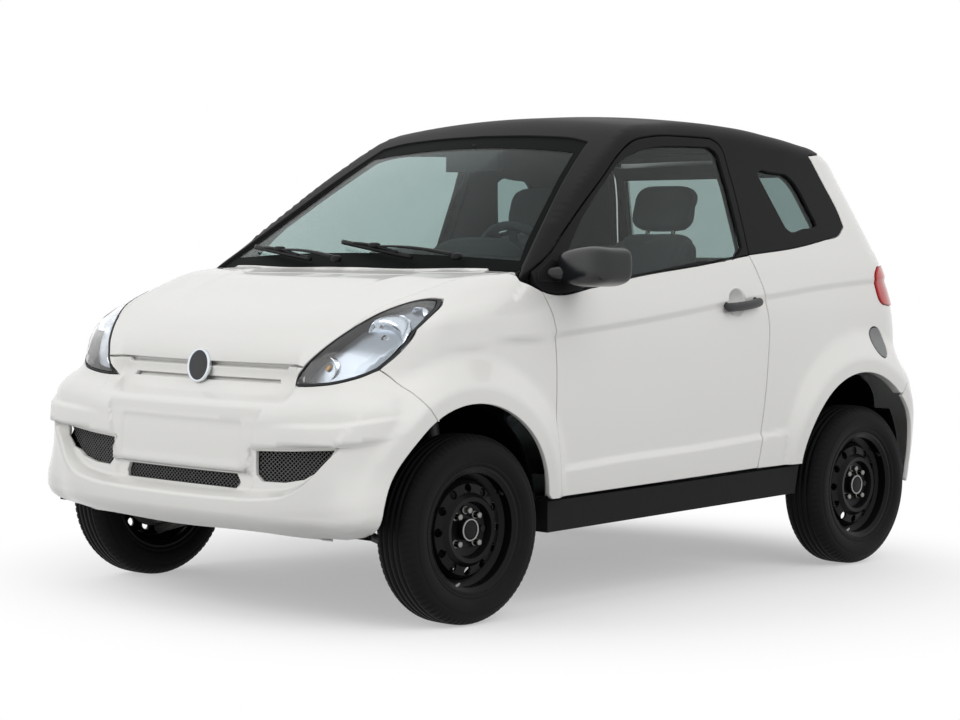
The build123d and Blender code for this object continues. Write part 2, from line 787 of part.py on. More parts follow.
# spindle x, spindle z, tip x, tip z
WIPERS = (
    (430, 1006, -90, 1052),
    (-40, 996, -520, 1050),
)
wipers = []
for x0, z0, x1, z1 in WIPERS:
    middle = (x0 * 0.45 + x1 * 0.55, z0 * 0.4 + z1 * 0.6)
    start = (x0, glass_y(x0, z0, 26), z0)
    half_way = (middle[0], glass_y(*middle, 30), middle[1])
    tip = (x1, glass_y(x1, z1, 22), z1)
    wipers.append(rod(start, half_way, 7) + rod(half_way, tip, 7) + Pos(*half_way) * Sphere(7))
save("wipers", group(*[piece - windscreen - cowl - outer for piece in wipers]))
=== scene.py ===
# %% [markdown]
# # Dressing a white microcar over its CAD frame
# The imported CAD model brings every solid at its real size, and it says which body each one rides on.
# This lesson builds the outside that the eye sees: smooth panels with rolled edges, lamps with
# reflectors, glass, tyres with tread and padded seats. Each new piece names the body that carries it
# and the CAD node that it stands for.

# %% Load the frame
import math

import bpy
import numpy as np
from mathutils import Matrix, Vector, geometry


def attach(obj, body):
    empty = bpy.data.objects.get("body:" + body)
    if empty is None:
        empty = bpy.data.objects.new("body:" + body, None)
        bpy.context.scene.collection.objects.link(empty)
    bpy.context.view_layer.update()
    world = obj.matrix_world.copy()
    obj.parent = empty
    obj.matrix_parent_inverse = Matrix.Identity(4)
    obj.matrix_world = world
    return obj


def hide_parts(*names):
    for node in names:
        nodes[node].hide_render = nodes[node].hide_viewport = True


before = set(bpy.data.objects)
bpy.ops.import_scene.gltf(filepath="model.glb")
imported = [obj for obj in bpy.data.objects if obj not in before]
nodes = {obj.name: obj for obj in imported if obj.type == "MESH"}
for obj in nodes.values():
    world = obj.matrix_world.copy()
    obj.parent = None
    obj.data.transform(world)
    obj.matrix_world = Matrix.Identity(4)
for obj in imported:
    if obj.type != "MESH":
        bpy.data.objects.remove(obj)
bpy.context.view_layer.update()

# %% [markdown]
# ## The camera
# A car is best judged from one fixed eye point, so the camera comes first. It stands ahead of the car's
# left wing, a little above knee height, with a long lens that keeps the far side nearly as large as the
# near side. A small roll is part of the view, so the matrix is built from its three axes by hand.
# The frame's origin is below the middle of the whole box, and a mirror on one side only moves that away
# from the car's own middle plane, so the plane's place is the first number here.

# %% Camera
CAR_MIDDLE_X = -0.0824
CAMERA_AT = Vector((5.0924 + CAR_MIDDLE_X, -5.4138, 1.0290))
CAMERA_TURN = math.radians(43.8788)
CAMERA_RISE = math.radians(2.6501)
CAMERA_ROLL = math.radians(0.449)
LENS = 84.83
SENSOR = 36.0

back = Vector((
    math.sin(CAMERA_TURN) * math.cos(CAMERA_RISE),
    -math.cos(CAMERA_TURN) * math.cos(CAMERA_RISE),
    math.sin(CAMERA_RISE),
))
level_right = (-back).cross(Vector((0, 0, 1))).normalized()
level_up = level_right.cross(-back)
right = level_right * math.cos(CAMERA_ROLL) + level_up * math.sin(CAMERA_ROLL)
up = level_up * math.cos(CAMERA_ROLL) - level_right * math.sin(CAMERA_ROLL)
camera_data = bpy.data.cameras.new("camera")
camera_data.lens = LENS
camera_data.sensor_width = SENSOR
camera = bpy.data.objects.new("camera", camera_data)
camera.matrix_world = Matrix((right, up, back)).transposed().to_4x4()
camera.location = CAMERA_AT
bpy.context.scene.collection.objects.link(camera)
bpy.context.scene.camera = camera
print("camera", round(CAMERA_AT.length, 2), "m from the origin")

# %% [markdown]
# ## Floor and light
# Bodywork is shown in a studio: a pale floor that runs out of sight, a white surround and broad soft
# lamps high on all four sides. The surround is white to the eye, in reflections and through glass, but
# gives the car only part of its light, so upward faces come out brighter than upright ones. The floor
# throws back less light on the car than the eye sees on it, it turns plain white a little way off, and
# the shadow under the car is lifted a little, as a paler floor would do. The lamps light the paint but
# stay out of its reflections, because hard lamp shapes would cut the smooth bonnet into patches.

# %% Shader nodes
SKY_LIGHT = 0.36
FLOOR_SIZE = 60.0
FLOOR_FADE = (1.0, 1.95)
SHADOW_LIFT = 0.38
FLOOR_SEEN = 0.97
FLOOR_BOUNCE = 0.36


def set_inputs(target, **values):
    """Values for a node's inputs, by their names with _ for blanks."""
    for label, value in values.items():
        target.inputs[label.replace("_", " ")].default_value = value


def node(tree, kind, **values):
    """A new node in a tree, with values for its inputs."""
    made = tree.nodes.new("ShaderNode" + kind)
    set_inputs(made, **values)
    return made


def join(tree, *links):
    """Links: a node and its output, then a node and its input."""
    for source, given, target, taken in links:
        tree.links.new(source.outputs[given], target.inputs[taken])


def maths(tree, operation, first, second):
    """One number from two."""
    made = node(tree, "Math")
    made.operation = operation
    tree.links.new(first, made.inputs[0])
    tree.links.new(second, made.inputs[1])
    return made.outputs[0]


def mixed(tree, factor, first, second):
    """A colour between two, by a mask."""
    mix = node(tree, "Mix")
    mix.data_type = "RGBA"
    tree.links.new(factor, mix.inputs["Factor"])
    for socket, value in ((mix.inputs["A"], first), (mix.inputs["B"], second)):
        if isinstance(value, tuple):
            socket.default_value = (*value, 1.0)
        else:
            tree.links.new(value, socket)
    return mix.outputs["Result"]


def new_material(name):
    """A material with an empty node tree, its shader and its output."""
    material = bpy.data.materials.new(name)
    material.use_nodes = True
    tree = material.node_tree
    tree.nodes.clear()
    shader = node(tree, "BsdfPrincipled")
    join(tree, (shader, "BSDF", node(tree, "OutputMaterial"), "Surface"))
    return material, tree, shader


def seen_rays(tree):
    """1 for rays that show the surround: from the eye, in a reflection or through glass."""
    path = node(tree, "LightPath").outputs
    either = maths(tree, "MAXIMUM", path["Is Camera Ray"], path["Is Glossy Ray"])
    return maths(tree, "MAXIMUM", either, path["Is Transmission Ray"])


print("share of the surround's light on the car:", SKY_LIGHT)

# %% World, floor and lamps
WHITE = (1.0, 1.0, 1.0, 1.0)
world = bpy.data.worlds.new("surround")
bpy.context.scene.world = world
world.use_nodes = True
world_tree = world.node_tree
world_tree.nodes.clear()
sky = node(world_tree, "Background", Color=WHITE, Strength=SKY_LIGHT)
seen = node(world_tree, "Background", Color=WHITE, Strength=1.0)
either_sky = node(world_tree, "MixShader")
world_tree.links.new(seen_rays(world_tree), either_sky.inputs["Fac"])
join(world_tree, (sky, 0, either_sky, 1), (seen, 0, either_sky, 2),
     (either_sky, 0, node(world_tree, "OutputWorld"), "Surface"))

floor_mesh = bpy.data.meshes.new("floor")
half_floor = FLOOR_SIZE / 2
floor_mesh.from_pydata(
    [(-half_floor, -half_floor, 0), (half_floor, -half_floor, 0), (half_floor, half_floor, 0),
     (-half_floor, half_floor, 0)], [], [(0, 1, 2, 3)])
floor = bpy.data.objects.new("floor", floor_mesh)
bpy.context.scene.collection.objects.link(floor)
floor_finish, floor_tree, floor_shader = new_material("floor_white")
floor_seen = seen_rays(floor_tree)
floor_tone = mixed(floor_tree, floor_seen, (FLOOR_BOUNCE,) * 3, (FLOOR_SEEN,) * 3)
set_inputs(floor_shader, Roughness=0.9, Specular_IOR_Level=0.1)
floor_away = node(floor_tree, "VectorMath")
floor_away.operation = "LENGTH"
floor_fade = node(floor_tree, "MapRange", From_Min=FLOOR_FADE[0], From_Max=FLOOR_FADE[1], To_Min=SHADOW_LIFT)
floor_fade.interpolation_type = "SMOOTHSTEP"
floor_both = node(floor_tree, "MixShader")
floor_out = next(found for found in floor_tree.nodes if found.type == "OUTPUT_MATERIAL")
join(floor_tree, (node(floor_tree, "NewGeometry"), "Position", floor_away, 0),
     (floor_away, "Value", floor_fade, "Value"), (floor_shader, "BSDF", floor_both, 1),
     (node(floor_tree, "Emission", Color=WHITE), "Emission", floor_both, 2),
     (floor_both, 0, floor_out, "Surface"))
floor_share = maths(floor_tree, "MULTIPLY", floor_fade.outputs["Result"], floor_seen)
floor_tree.links.new(floor_tone, floor_shader.inputs["Base Color"])
floor_tree.links.new(floor_share, floor_both.inputs["Fac"])
floor_mesh.materials.append(floor_finish)

SOFTBOX_SIZE = (6.0, 5.0)
LAMPS_AIM_AT = (0, 0, 0.5)
# name, place, power
SOFTBOXES = (
    ("side_softbox", (5.5, -0.6, 4.0), 185.0),
    ("front_softbox", (-0.8, -6.6, 3.7), 205.0),
    ("far_softbox", (-5.6, 0.6, 3.6), 75.0),
    ("back_softbox", (0.5, 6.4, 3.6), 75.0),
)
for name, place, power in SOFTBOXES:
    lamp = bpy.data.lights.new(name, "AREA")
    lamp.shape = "RECTANGLE"
    lamp.size, lamp.size_y = SOFTBOX_SIZE
    lamp.energy = power
    holder = bpy.data.objects.new(name, lamp)
    holder.location = place
    holder.rotation_euler = (Vector(LAMPS_AIM_AT) - Vector(place)).to_track_quat("-Z", "Y").to_euler()
    holder.visible_camera = False
    holder.visible_glossy = False
    bpy.context.scene.collection.objects.link(holder)
bpy.context.scene.view_settings.view_transform = "Standard"
print("floor", FLOOR_SIZE, "m, lamps", len(SOFTBOXES))

# %% [markdown]
# ## Curves that panels are made of
# A pressed panel is smooth because few points steer it. A line through a few points gives the nose in
# side view or the flank in section; a ramp blends one level into another; a rounded corner joins two
# faces with a given radius. Everything about the body's shape is said with these three words.

# %% Curves
def through(*points):
    """A smooth curve of (place, value) points, carried on straight beyond both ends."""
    place, value = np.array(points, float).T
    slope = np.gradient(value, place)

    def curve(at):
        at = np.asarray(at, float)
        i = np.clip(np.searchsorted(place, at) - 1, 0, len(place) - 2)
        span = place[i + 1] - place[i]
        u = np.clip((at - place[i]) / span, 0, 1)
        v = 1 - u
        inside = value[i] * v * v * (1 + 2 * u) + value[i + 1] * u * u * (1 + 2 * v)
        inside += span * u * v * (slope[i] * v - slope[i + 1] * u)
        beyond = np.minimum(at - place[0], 0) * slope[0] + np.maximum(at - place[-1], 0) * slope[-1]
        return inside + beyond

    return curve


def ramp(value, low, high):
    """0 below low, 1 above high, smooth between."""
    t = np.clip((value - low) / (high - low), 0, 1)
    return t * t * (3 - 2 * t)


def rounded(a, b, radius):
    """The distance to the shared inside of two faces, with a round edge between them."""
    beyond = np.hypot(np.maximum(a + radius, 0), np.maximum(b + radius, 0))
    return np.minimum(np.maximum(a, b), -radius) + beyond


def least(a, b, blend):
    """The smaller of two, with a soft change-over."""
    near = np.maximum(blend - np.abs(a - b), 0) / blend
    return np.minimum(a, b) - near * near * blend / 4


def most(a, b, blend):
    """The larger of two, with a soft change-over."""
    return -least(-a, -b, blend)


print("halfway up a ramp:", float(ramp(0.5, 0, 1)))

# %% [markdown]
# ## The body as one form
# Real panels are cut from one styled surface, so their edges line up. Here that surface is a function:
# below zero is inside the car, above zero outside. It is put together from the flank, the nose, the
# bonnet, the tail and the glasshouse. Wheel arches, creases and the pockets in the bumper are steps
# in those faces.

# %% Flank
FRONT_ARCH = (-0.940, 0.297)
REAR_ARCH = (0.928, 0.325)
ARCH_RADIUS = 0.322
FLARE_RIDGE = 0.370
FLARE_FOOT = 0.440
FLARE_RAKE = 0.026
FLARE_OUT = 0.785
FLARE_FOOT_OUT = 0.740
SIDE_TUCK = 0.012
SHOULDER_STEP = 0.009
SILL_STEP = 0.013
BUMPER_SWELL = 0.040
flank = through((0.20, 0.715), (0.24, 0.722), (0.35, 0.736), (0.45, 0.742), (0.68, 0.743), (0.80, 0.738),
                (0.86, 0.732), (0.90, 0.725), (0.95, 0.714), (1.0, 0.702), (1.09, 0.672), (1.18, 0.639),
                (1.35, 0.577), (1.45, 0.545))
upper_crease = through((-1.05, 0.765), (-0.812, 0.784), (-0.574, 0.802), (-0.295, 0.826), (0.084, 0.866),
                       (0.26, 0.886), (0.453, 0.903), (0.772, 0.933), (1.063, 0.952))
lower_crease = through((-0.561, 0.412), (-0.295, 0.428), (0.086, 0.442), (0.377, 0.458), (0.554, 0.468))


def half_width(y, z):
    """How far the body's left side stands from the middle of the car."""
    wide = flank(z) - SIDE_TUCK * (y / 1.05) ** 2
    wide = wide + SHOULDER_STEP * ramp(z - upper_crease(y), -0.012, 0.010) * ramp(y, -1.08, -0.80)
    door_length = ramp(y, -0.64, -0.54) * (1 - ramp(y, 0.50, 0.60))
    wide = wide + SILL_STEP * (1 - ramp(z - lower_crease(y), -0.012, 0.012)) * door_length
    bumpers = 1 - ramp(y, -1.24, -1.12) * (1 - ramp(y, 1.14, 1.22))
    wide = wide + BUMPER_SWELL * bumpers * (1 - ramp(z, 0.58, 0.74))
    for arch_y, arch_z in (FRONT_ARCH, REAR_ARCH):
        reach = np.maximum(np.hypot(y - arch_y, z - arch_z), 1e-6)
        lip = FLARE_OUT - 0.030 * (1 - ramp((z - arch_z) / reach, -0.2, 0.75))
        foot = FLARE_FOOT + FLARE_RAKE * (y - arch_y) / reach
        cone = lip - (reach - FLARE_RIDGE) * (FLARE_OUT - FLARE_FOOT_OUT) / (foot - FLARE_RIDGE)
        wide = most(wide, least(cone, lip, 0.008), 0.010)
    return wide


print("widest at the arch:", round(float(half_width(-0.94, 0.62)), 3), "m")

# %% Nose, pockets and bonnet
nose_line = through((0.232, -1.322), (0.242, -1.345), (0.258, -1.362), (0.30, -1.376), (0.36, -1.380),
                    (0.45, -1.380), (0.54, -1.374), (0.585, -1.366), (0.604, -1.354), (0.635, -1.322),
                    (0.665, -1.311), (0.70, -1.307), (0.75, -1.298), (0.80, -1.272), (0.845, -1.234),
                    (0.904, -1.11))
nose_hollow = through((0.615, 0.0), (0.655, 0.028), (0.675, 0.036), (0.72, 0.025), (0.80, 0.008), (0.86, 0.0),
                      (0.90, 0.0))
lip_line = through((0.0, 0.341), (0.24, 0.343), (0.40, 0.351), (0.48, 0.366), (0.53, 0.392), (0.594, 0.452),
                   (0.648, 0.511), (0.70, 0.60))
band_foot = through((0.0, 0.487), (0.295, 0.493), (0.476, 0.504), (0.654, 0.516), (0.778, 0.542))
ledge_line = through((0.0, 0.0), (0.35, 0.004), (0.49, 0.018), (0.67, 0.038), (0.76, 0.060))
NOSE_BOW = 7.0
POCKET = 0.020
MIDDLE_POCKET = 0.026
LIP_OUT = 0.036
BAND_OUT = 0.016
CORNER_FILL = 0.040
PANEL_SINK = 0.009
PLATE_SINK = 0.004
POCKET_SIDE = 0.300
PANEL_FOOT = 0.426
PLATE_HALF = 0.268
PLATE_LOW = 0.443
PLATE_HIGH = 0.560


def nose_face(x, z):
    """Where the front of the car is, in side view, at a distance from the middle."""
    face = nose_line(z - ledge_line(x)) + x * x / NOSE_BOW
    face = face - CORNER_FILL * ramp(x, 0.56, 0.74) * (1 - ramp(z, 0.28, 0.46))
    face = face + np.maximum(nose_hollow(z), 0) * (1 - ramp(x, 0.385, 0.425))
    below_band = 1 - ramp(z - band_foot(x), -0.005, 0.0)
    below_panel = 1 - ramp(z, PANEL_FOOT - 0.005, PANEL_FOOT)
    outboard = ramp(x, POCKET_SIDE, POCKET_SIDE + 0.012)
    pocket = ramp(z - lip_line(x), 0.0, 0.040) * (below_panel * (1 - outboard) + below_band * outboard)
    face = face + (MIDDLE_POCKET - (MIDDLE_POCKET - POCKET) * outboard) * pocket
    panel_edge = 0.326 + (z - 0.54) * 0.33
    centre = (1 - ramp(x - panel_edge, -0.004, 0.003)) * ramp(z, PANEL_FOOT - 0.01, PANEL_FOOT)
    face = face + PANEL_SINK * centre * (1 - ramp(z, 0.580, 0.598))
    plate = ramp(PLATE_HALF - x, -0.002, 0.002) * ramp(z, PLATE_LOW - 0.002, PLATE_LOW + 0.002)
    face = face + PLATE_SINK * plate * (1 - ramp(z, PLATE_HIGH - 0.002, PLATE_HIGH + 0.002))
    band = ramp(x, 0.36, 0.56) * (1 - ramp(x, 0.70, 0.83)) * ramp(z - band_foot(x), -0.004, 0.0)
    face = face - BAND_OUT * band * (1 - ramp(z - band_foot(x), 0.046, 0.068))
    below_lip = 1 - ramp(z - lip_line(x), 0.0, 0.036)
    return face - LIP_OUT * below_lip * (1 - ramp(x, 0.46, 0.74)) * ramp(z, 0.24, 0.31)


bonnet_line = through((-1.32, 0.780), (-1.224, 0.849), (-1.096, 0.906), (-0.98, 0.943), (-0.841, 0.970),
                      (-0.70, 0.987), (-0.60, 0.996), (0.0, 1.03), (1.3, 1.09))
ridge_x = through((-1.25, 0.575), (-1.093, 0.600), (-0.985, 0.620), (-0.867, 0.648), (-0.691, 0.688),
                  (-0.55, 0.70))
ridge_z = through((-1.25, 0.860), (-1.093, 0.912), (-1.0, 0.927), (-0.867, 0.950), (-0.691, 0.990),
                  (-0.55, 1.03))
shoulder_z = through((-1.25, 0.800), (-1.057, 0.847), (-0.90, 0.872), (-0.724, 0.899), (-0.584, 0.914))
valley_x = through((-1.20, 0.275), (-1.09, 0.315), (-1.0, 0.345), (-0.90, 0.365))
SHOULDER_X = 0.727
BONNET_CROWN = 30.0
VALLEY_DEPTH = 0.006


def bonnet_face(x, y):
    """How high the bonnet is."""
    rise = VALLEY_DEPTH * ramp(x - valley_x(y), -0.03, 0.02) * ramp(y, -1.20, -1.10)
    return bonnet_line(y) - x * x / BONNET_CROWN + rise


print("nose at plate height:", round(float(nose_face(np.float64(0), np.float64(0.5))), 3))

# %% Tail, glasshouse and the whole form
tail_line = through((0.225, 1.335), (0.245, 1.357), (0.33, 1.378), (0.45, 1.380), (0.56, 1.372), (0.62, 1.358),
                    (0.66, 1.342), (0.72, 1.338), (0.84, 1.332), (0.95, 1.305), (1.02, 1.283), (1.21, 1.20),
                    (1.405, 1.112), (1.5, 1.07))
roof_line = through((-0.30, 1.33), (-0.138, 1.414), (-0.055, 1.452), (0.178, 1.487), (0.487, 1.489),
                    (0.817, 1.457), (1.112, 1.405), (1.2, 1.38))
ROOF_CROWN = 8.0
TAIL_BOW = 0.09
SCREEN_FOOT = (-0.640, 1.052)
SCREEN_SLOPE = 0.7205
GLASS_FOOT = 0.90
PANE_DEPTH = 0.009
# how much shorter the true distance to a raked face is than the distance along one axis
FLANK_RAKE, SCREEN_RAKE, TAIL_RAKE = 0.94, 0.585, 0.92


def lower_body(x, y, z):
    """The form below the glass."""
    side = x - half_width(y, z)
    front = nose_face(x, z) - y
    tail = y - (tail_line(z) - TAIL_BOW * x * x)
    front_corner = 0.125 + 0.025 * ramp(z, 0.30, 0.50) + 0.060 * ramp(z, 0.60, 0.70)
    tail_corner = 0.130 + 0.035 * ramp(z, 0.62, 0.74)
    drop = ridge_z(y) - shoulder_z(y)
    out = SHOULDER_X - ridge_x(y)
    fall = ((x - ridge_x(y)) * drop + (z - ridge_z(y)) * out) / np.hypot(drop, out)
    fall = np.where(y < -0.45, fall - 0.10 * ramp(y, -0.64, -0.46), -1.0)
    flank_side = rounded(fall, side, 0.016)
    ring = np.maximum(rounded(front, flank_side, front_corner), rounded(tail, side, tail_corner))
    edge = 0.10 - 0.075 * ramp(x, 0.44, 0.60)
    return rounded(z - bonnet_face(x, y), ring, edge)


def glasshouse(x, y, z):
    """The form of roof, pillars and glass."""
    side = FLANK_RAKE * (x - half_width(y, z))
    roof = z - roof_line(y) + x * x / ROOF_CROWN
    screen = SCREEN_RAKE * (SCREEN_FOOT[0] + (z + x * x / ROOF_CROWN - SCREEN_FOOT[1]) / SCREEN_SLOPE - y)
    tail = TAIL_RAKE * (y - (tail_line(z) - TAIL_BOW * x * x))
    ends = np.maximum(rounded(screen, side, 0.03), rounded(tail, side, 0.16))
    return np.maximum(rounded(ends, roof, 0.045), GLASS_FOOT - z)


def body_form(p):
    """Below zero inside the car, above zero outside, for points in rows."""
    x, y, z = np.abs(p[..., 0]), p[..., 1], p[..., 2]
    return np.minimum(lower_body(x, y, z), glasshouse(x, y, z))


def sunk(depth):
    """The body's form, moved inwards."""
    return lambda p: body_form(p) + depth


def glass_form(p):
    """The glasshouse alone, a pane's depth inside the pillars."""
    return glasshouse(np.abs(p[..., 0]), p[..., 1], p[..., 2]) + PANE_DEPTH


print("form at the roof's middle:", round(float(body_form(np.array([0, 0.3, 1.487]))), 4))

# %% [markdown]
# ## Cutting panels out of the form
# A panel is drawn as a flat outline, in the view that shows it best, and then laid on the form by
# shooting a ray for each point. The flat side is filled with even triangles, and the true normals of
# the form are kept on the mesh, so wide white panels shade without ripples. Along its edge the sheet
# rolls over and turns inwards, as real sheet metal does round its inner frame.

# %% Rays and outlines
STEP = 0.014
ROLL = 0.0026


def cast(origin, direction, form, reach=1.7, count=24):
    """The outermost point of the form on each ray, looked for from outside."""
    far = np.linspace(reach, 0, count)
    inside = form(origin[:, None, :] + direction[:, None, :] * far[None, :, None]) < 0
    first = np.clip(np.argmax(inside, axis=1), 1, count - 1)
    outer, inner = far[first - 1], far[first]
    for _ in range(13):
        middle = (outer + inner) / 2
        hit = form(origin + direction * middle[:, None]) < 0
        inner = np.where(hit, middle, inner)
        outer = np.where(hit, outer, middle)
    return origin + direction * inner[:, None]


def outward(form, points, tick=0.0006):
    """The unit normals of a form."""
    slopes = []
    for axis in range(3):
        move = np.zeros(3)
        move[axis] = tick
        slopes.append(form(points + move) - form(points - move))
    normal = np.stack(slopes, -1)
    return normal / np.maximum(np.linalg.norm(normal, axis=-1, keepdims=True), 1e-12)


def rows(*columns):
    """Points from their coordinates, with single numbers spread over all rows."""
    return np.stack(np.broadcast_arrays(*[np.asarray(c, float) for c in columns]), -1)


class View:
    """A way of drawing flat on the form: rays for flat points, and flat points for solid ones."""

    def __init__(self, rays, flat, form=body_form):
        self.rays = rays
        self.flat = flat
        self.form = form

    def lay(self, uv):
        """Points on the form and their normals."""
        points = cast(*self.rays(np.asarray(uv, float)), self.form)
        return points, outward(self.form, points)

    def on(self, form):
        """The same view of another form."""
        return View(self.rays, self.flat, form)


TURN_ARC = 0.5
END_ARC = 0.4


def straight_view(first, second, along, sign):
    """A view square to one axis."""

    def rays(uv):
        origin = np.zeros((len(uv), 3))
        origin[:, first] = uv[:, 0]
        origin[:, second] = uv[:, 1]
        direction = np.zeros((len(uv), 3))
        direction[:, along] = sign
        return origin, direction

    return View(rays, lambda p: p[:, [first, second]])


def turning_view(along, first, second, centre, start):
    """A view that turns about an axis along the car or across it; the second coordinate is arc length."""

    def rays(uv):
        angle = uv[:, 1] / TURN_ARC + start
        origin = np.zeros((len(uv), 3))
        origin[:, along] = uv[:, 0]
        origin[:, first] = centre[0]
        origin[:, second] = centre[1]
        direction = np.zeros((len(uv), 3))
        direction[:, first] = np.cos(angle)
        direction[:, second] = np.sin(angle)
        return origin, direction

    def flat(p):
        angle = np.arctan2(p[:, second] - centre[1], p[:, first] - centre[0]) - start
        angle = (angle + np.pi) % (2 * np.pi) - np.pi
        return rows(p[:, along], angle * TURN_ARC)

    return View(rays, flat)


def end_view(turn_x, turn_y, sign):
    """A view of one end: straight in the middle, turning round the corners; the second number is height."""

    def rays(uv):
        past = np.maximum(np.abs(uv[:, 0]) - turn_x, 0) * np.sign(uv[:, 0])
        angle = past / END_ARC
        origin = rows(np.clip(uv[:, 0], -turn_x, turn_x), turn_y, uv[:, 1])
        return origin, rows(np.sin(angle), sign * np.cos(angle), 0)

    def flat(p):
        past = np.maximum(np.abs(p[:, 0]) - turn_x, 0)
        angle = np.arctan2(past, sign * (p[:, 1] - turn_y))
        along = np.where(past > 0, turn_x + angle * END_ARC, np.abs(p[:, 0]))
        return rows(along * np.sign(p[:, 0]), p[:, 2])

    return View(rays, flat)


side_view = straight_view(1, 2, 0, 1)
front_view = straight_view(0, 2, 1, -1)
rear_view = straight_view(0, 2, 1, 1)
top_view = straight_view(0, 1, 2, 1)
nose_view = end_view(0.45, -0.95, -1)
stern_view = end_view(0.45, 0.90, 1)
bonnet_view = turning_view(0, 1, 2, (-0.80, 0.50), math.pi)
shoulder_view = turning_view(1, 0, 2, (0.30, 0.45), 0.0)
roof_view = turning_view(1, 0, 2, (0.0, 0.90), math.pi / 2)


def bow(*points, step=STEP):
    """A smooth line through a few points in even steps, without its last point."""
    points = np.array(points, float)
    length = np.concatenate([[0], np.cumsum(np.linalg.norm(np.diff(points, axis=0), axis=1))])
    count = max(1, round(length[-1] / step))
    at = np.linspace(0, length[-1], count + 1)[:-1]
    return np.stack([through(*zip(length, column))(at) for column in points.T], -1)


def chain(*points):
    """Straight runs between points, each cut into even steps."""
    return np.concatenate([bow(a, b) for a, b in zip(points[:-1], points[1:])])


def arc_line(centre, radius, start, end):
    """A stretch of a circle, by its angles in degrees."""
    count = max(2, round(abs(math.radians(end - start)) * radius / STEP))
    angle = np.radians(np.linspace(start, end, count + 1)[:-1])
    return rows(centre[0] + radius * np.cos(angle), centre[1] + radius * np.sin(angle))


def closed(points):
    """A closed line through points in even steps."""
    return chain(*points, points[0])


def circle(centre, radius, count=40):
    """A flat circle, or an oval where radius is a pair."""
    wide, high = np.broadcast_to(radius, 2)
    angle = np.linspace(0, 2 * np.pi, count, endpoint=False)
    return rows(centre[0] + wide * np.cos(angle), centre[1] + high * np.sin(angle))


def moved(view, line, other):
    """A flat line of one view, laid on the form and drawn in another view."""
    return other.flat(view.lay(line)[0])


def outline(other, *stretches):
    """Stretches of (view, points or line), laid on the form and drawn one after another in another view."""
    return np.concatenate([moved(view, bow(*line) if isinstance(line, tuple) else line, other)
                           for view, line in stretches])


def flipped(line, axis=0):
    """The mirror image of a flat line, in reversed order, so that it carries on from the first."""
    image = np.array(line)[::-1].copy()
    image[:, axis] *= -1
    return image


print("points along a metre:", len(bow((0, 0), (1, 0))))

# %% Panels
def turned_round(loop):
    """The loop, counter-clockwise."""
    x, y = loop.T
    area = np.sum(x * np.roll(y, -1) - np.roll(x, -1) * y)
    return loop if area > 0 else loop[::-1]


def shrunk(loop, by):
    """A counter-clockwise loop moved inwards, or outwards where by is below zero."""
    ahead = np.roll(loop, -1, axis=0) - loop
    ahead /= np.maximum(np.linalg.norm(ahead, axis=1, keepdims=True), 1e-9)
    behind = np.roll(ahead, 1, axis=0)
    inward = rows(-(ahead + behind)[:, 1], (ahead + behind)[:, 0])
    size = np.maximum(np.linalg.norm(inward, axis=1, keepdims=True), 0.5)
    return loop + inward / size * by * np.minimum(2 / size, 1.6)


def within(points, loop):
    """Which points lie inside a loop."""
    x, y = points[:, 0][:, None], points[:, 1][:, None]
    (x0, y0), (x1, y1) = loop.T, np.roll(loop, -1, axis=0).T
    crosses = (y0 > y) != (y1 > y)
    at = x0 + (y - y0) * (x1 - x0) / np.where(y1 == y0, 1e-12, y1 - y0)
    return np.sum(crosses & (x < at), axis=1) % 2 == 1


def clear_of(points, others, gap):
    """The points that keep a gap from all the others."""
    kept = []
    for part in np.array_split(points, max(1, len(points) // 2000)):
        away = np.min(np.hypot(part[:, :1] - others[:, 0], part[:, 1:] - others[:, 1]), axis=1)
        kept.append(part[away > gap])
    return np.concatenate(kept)


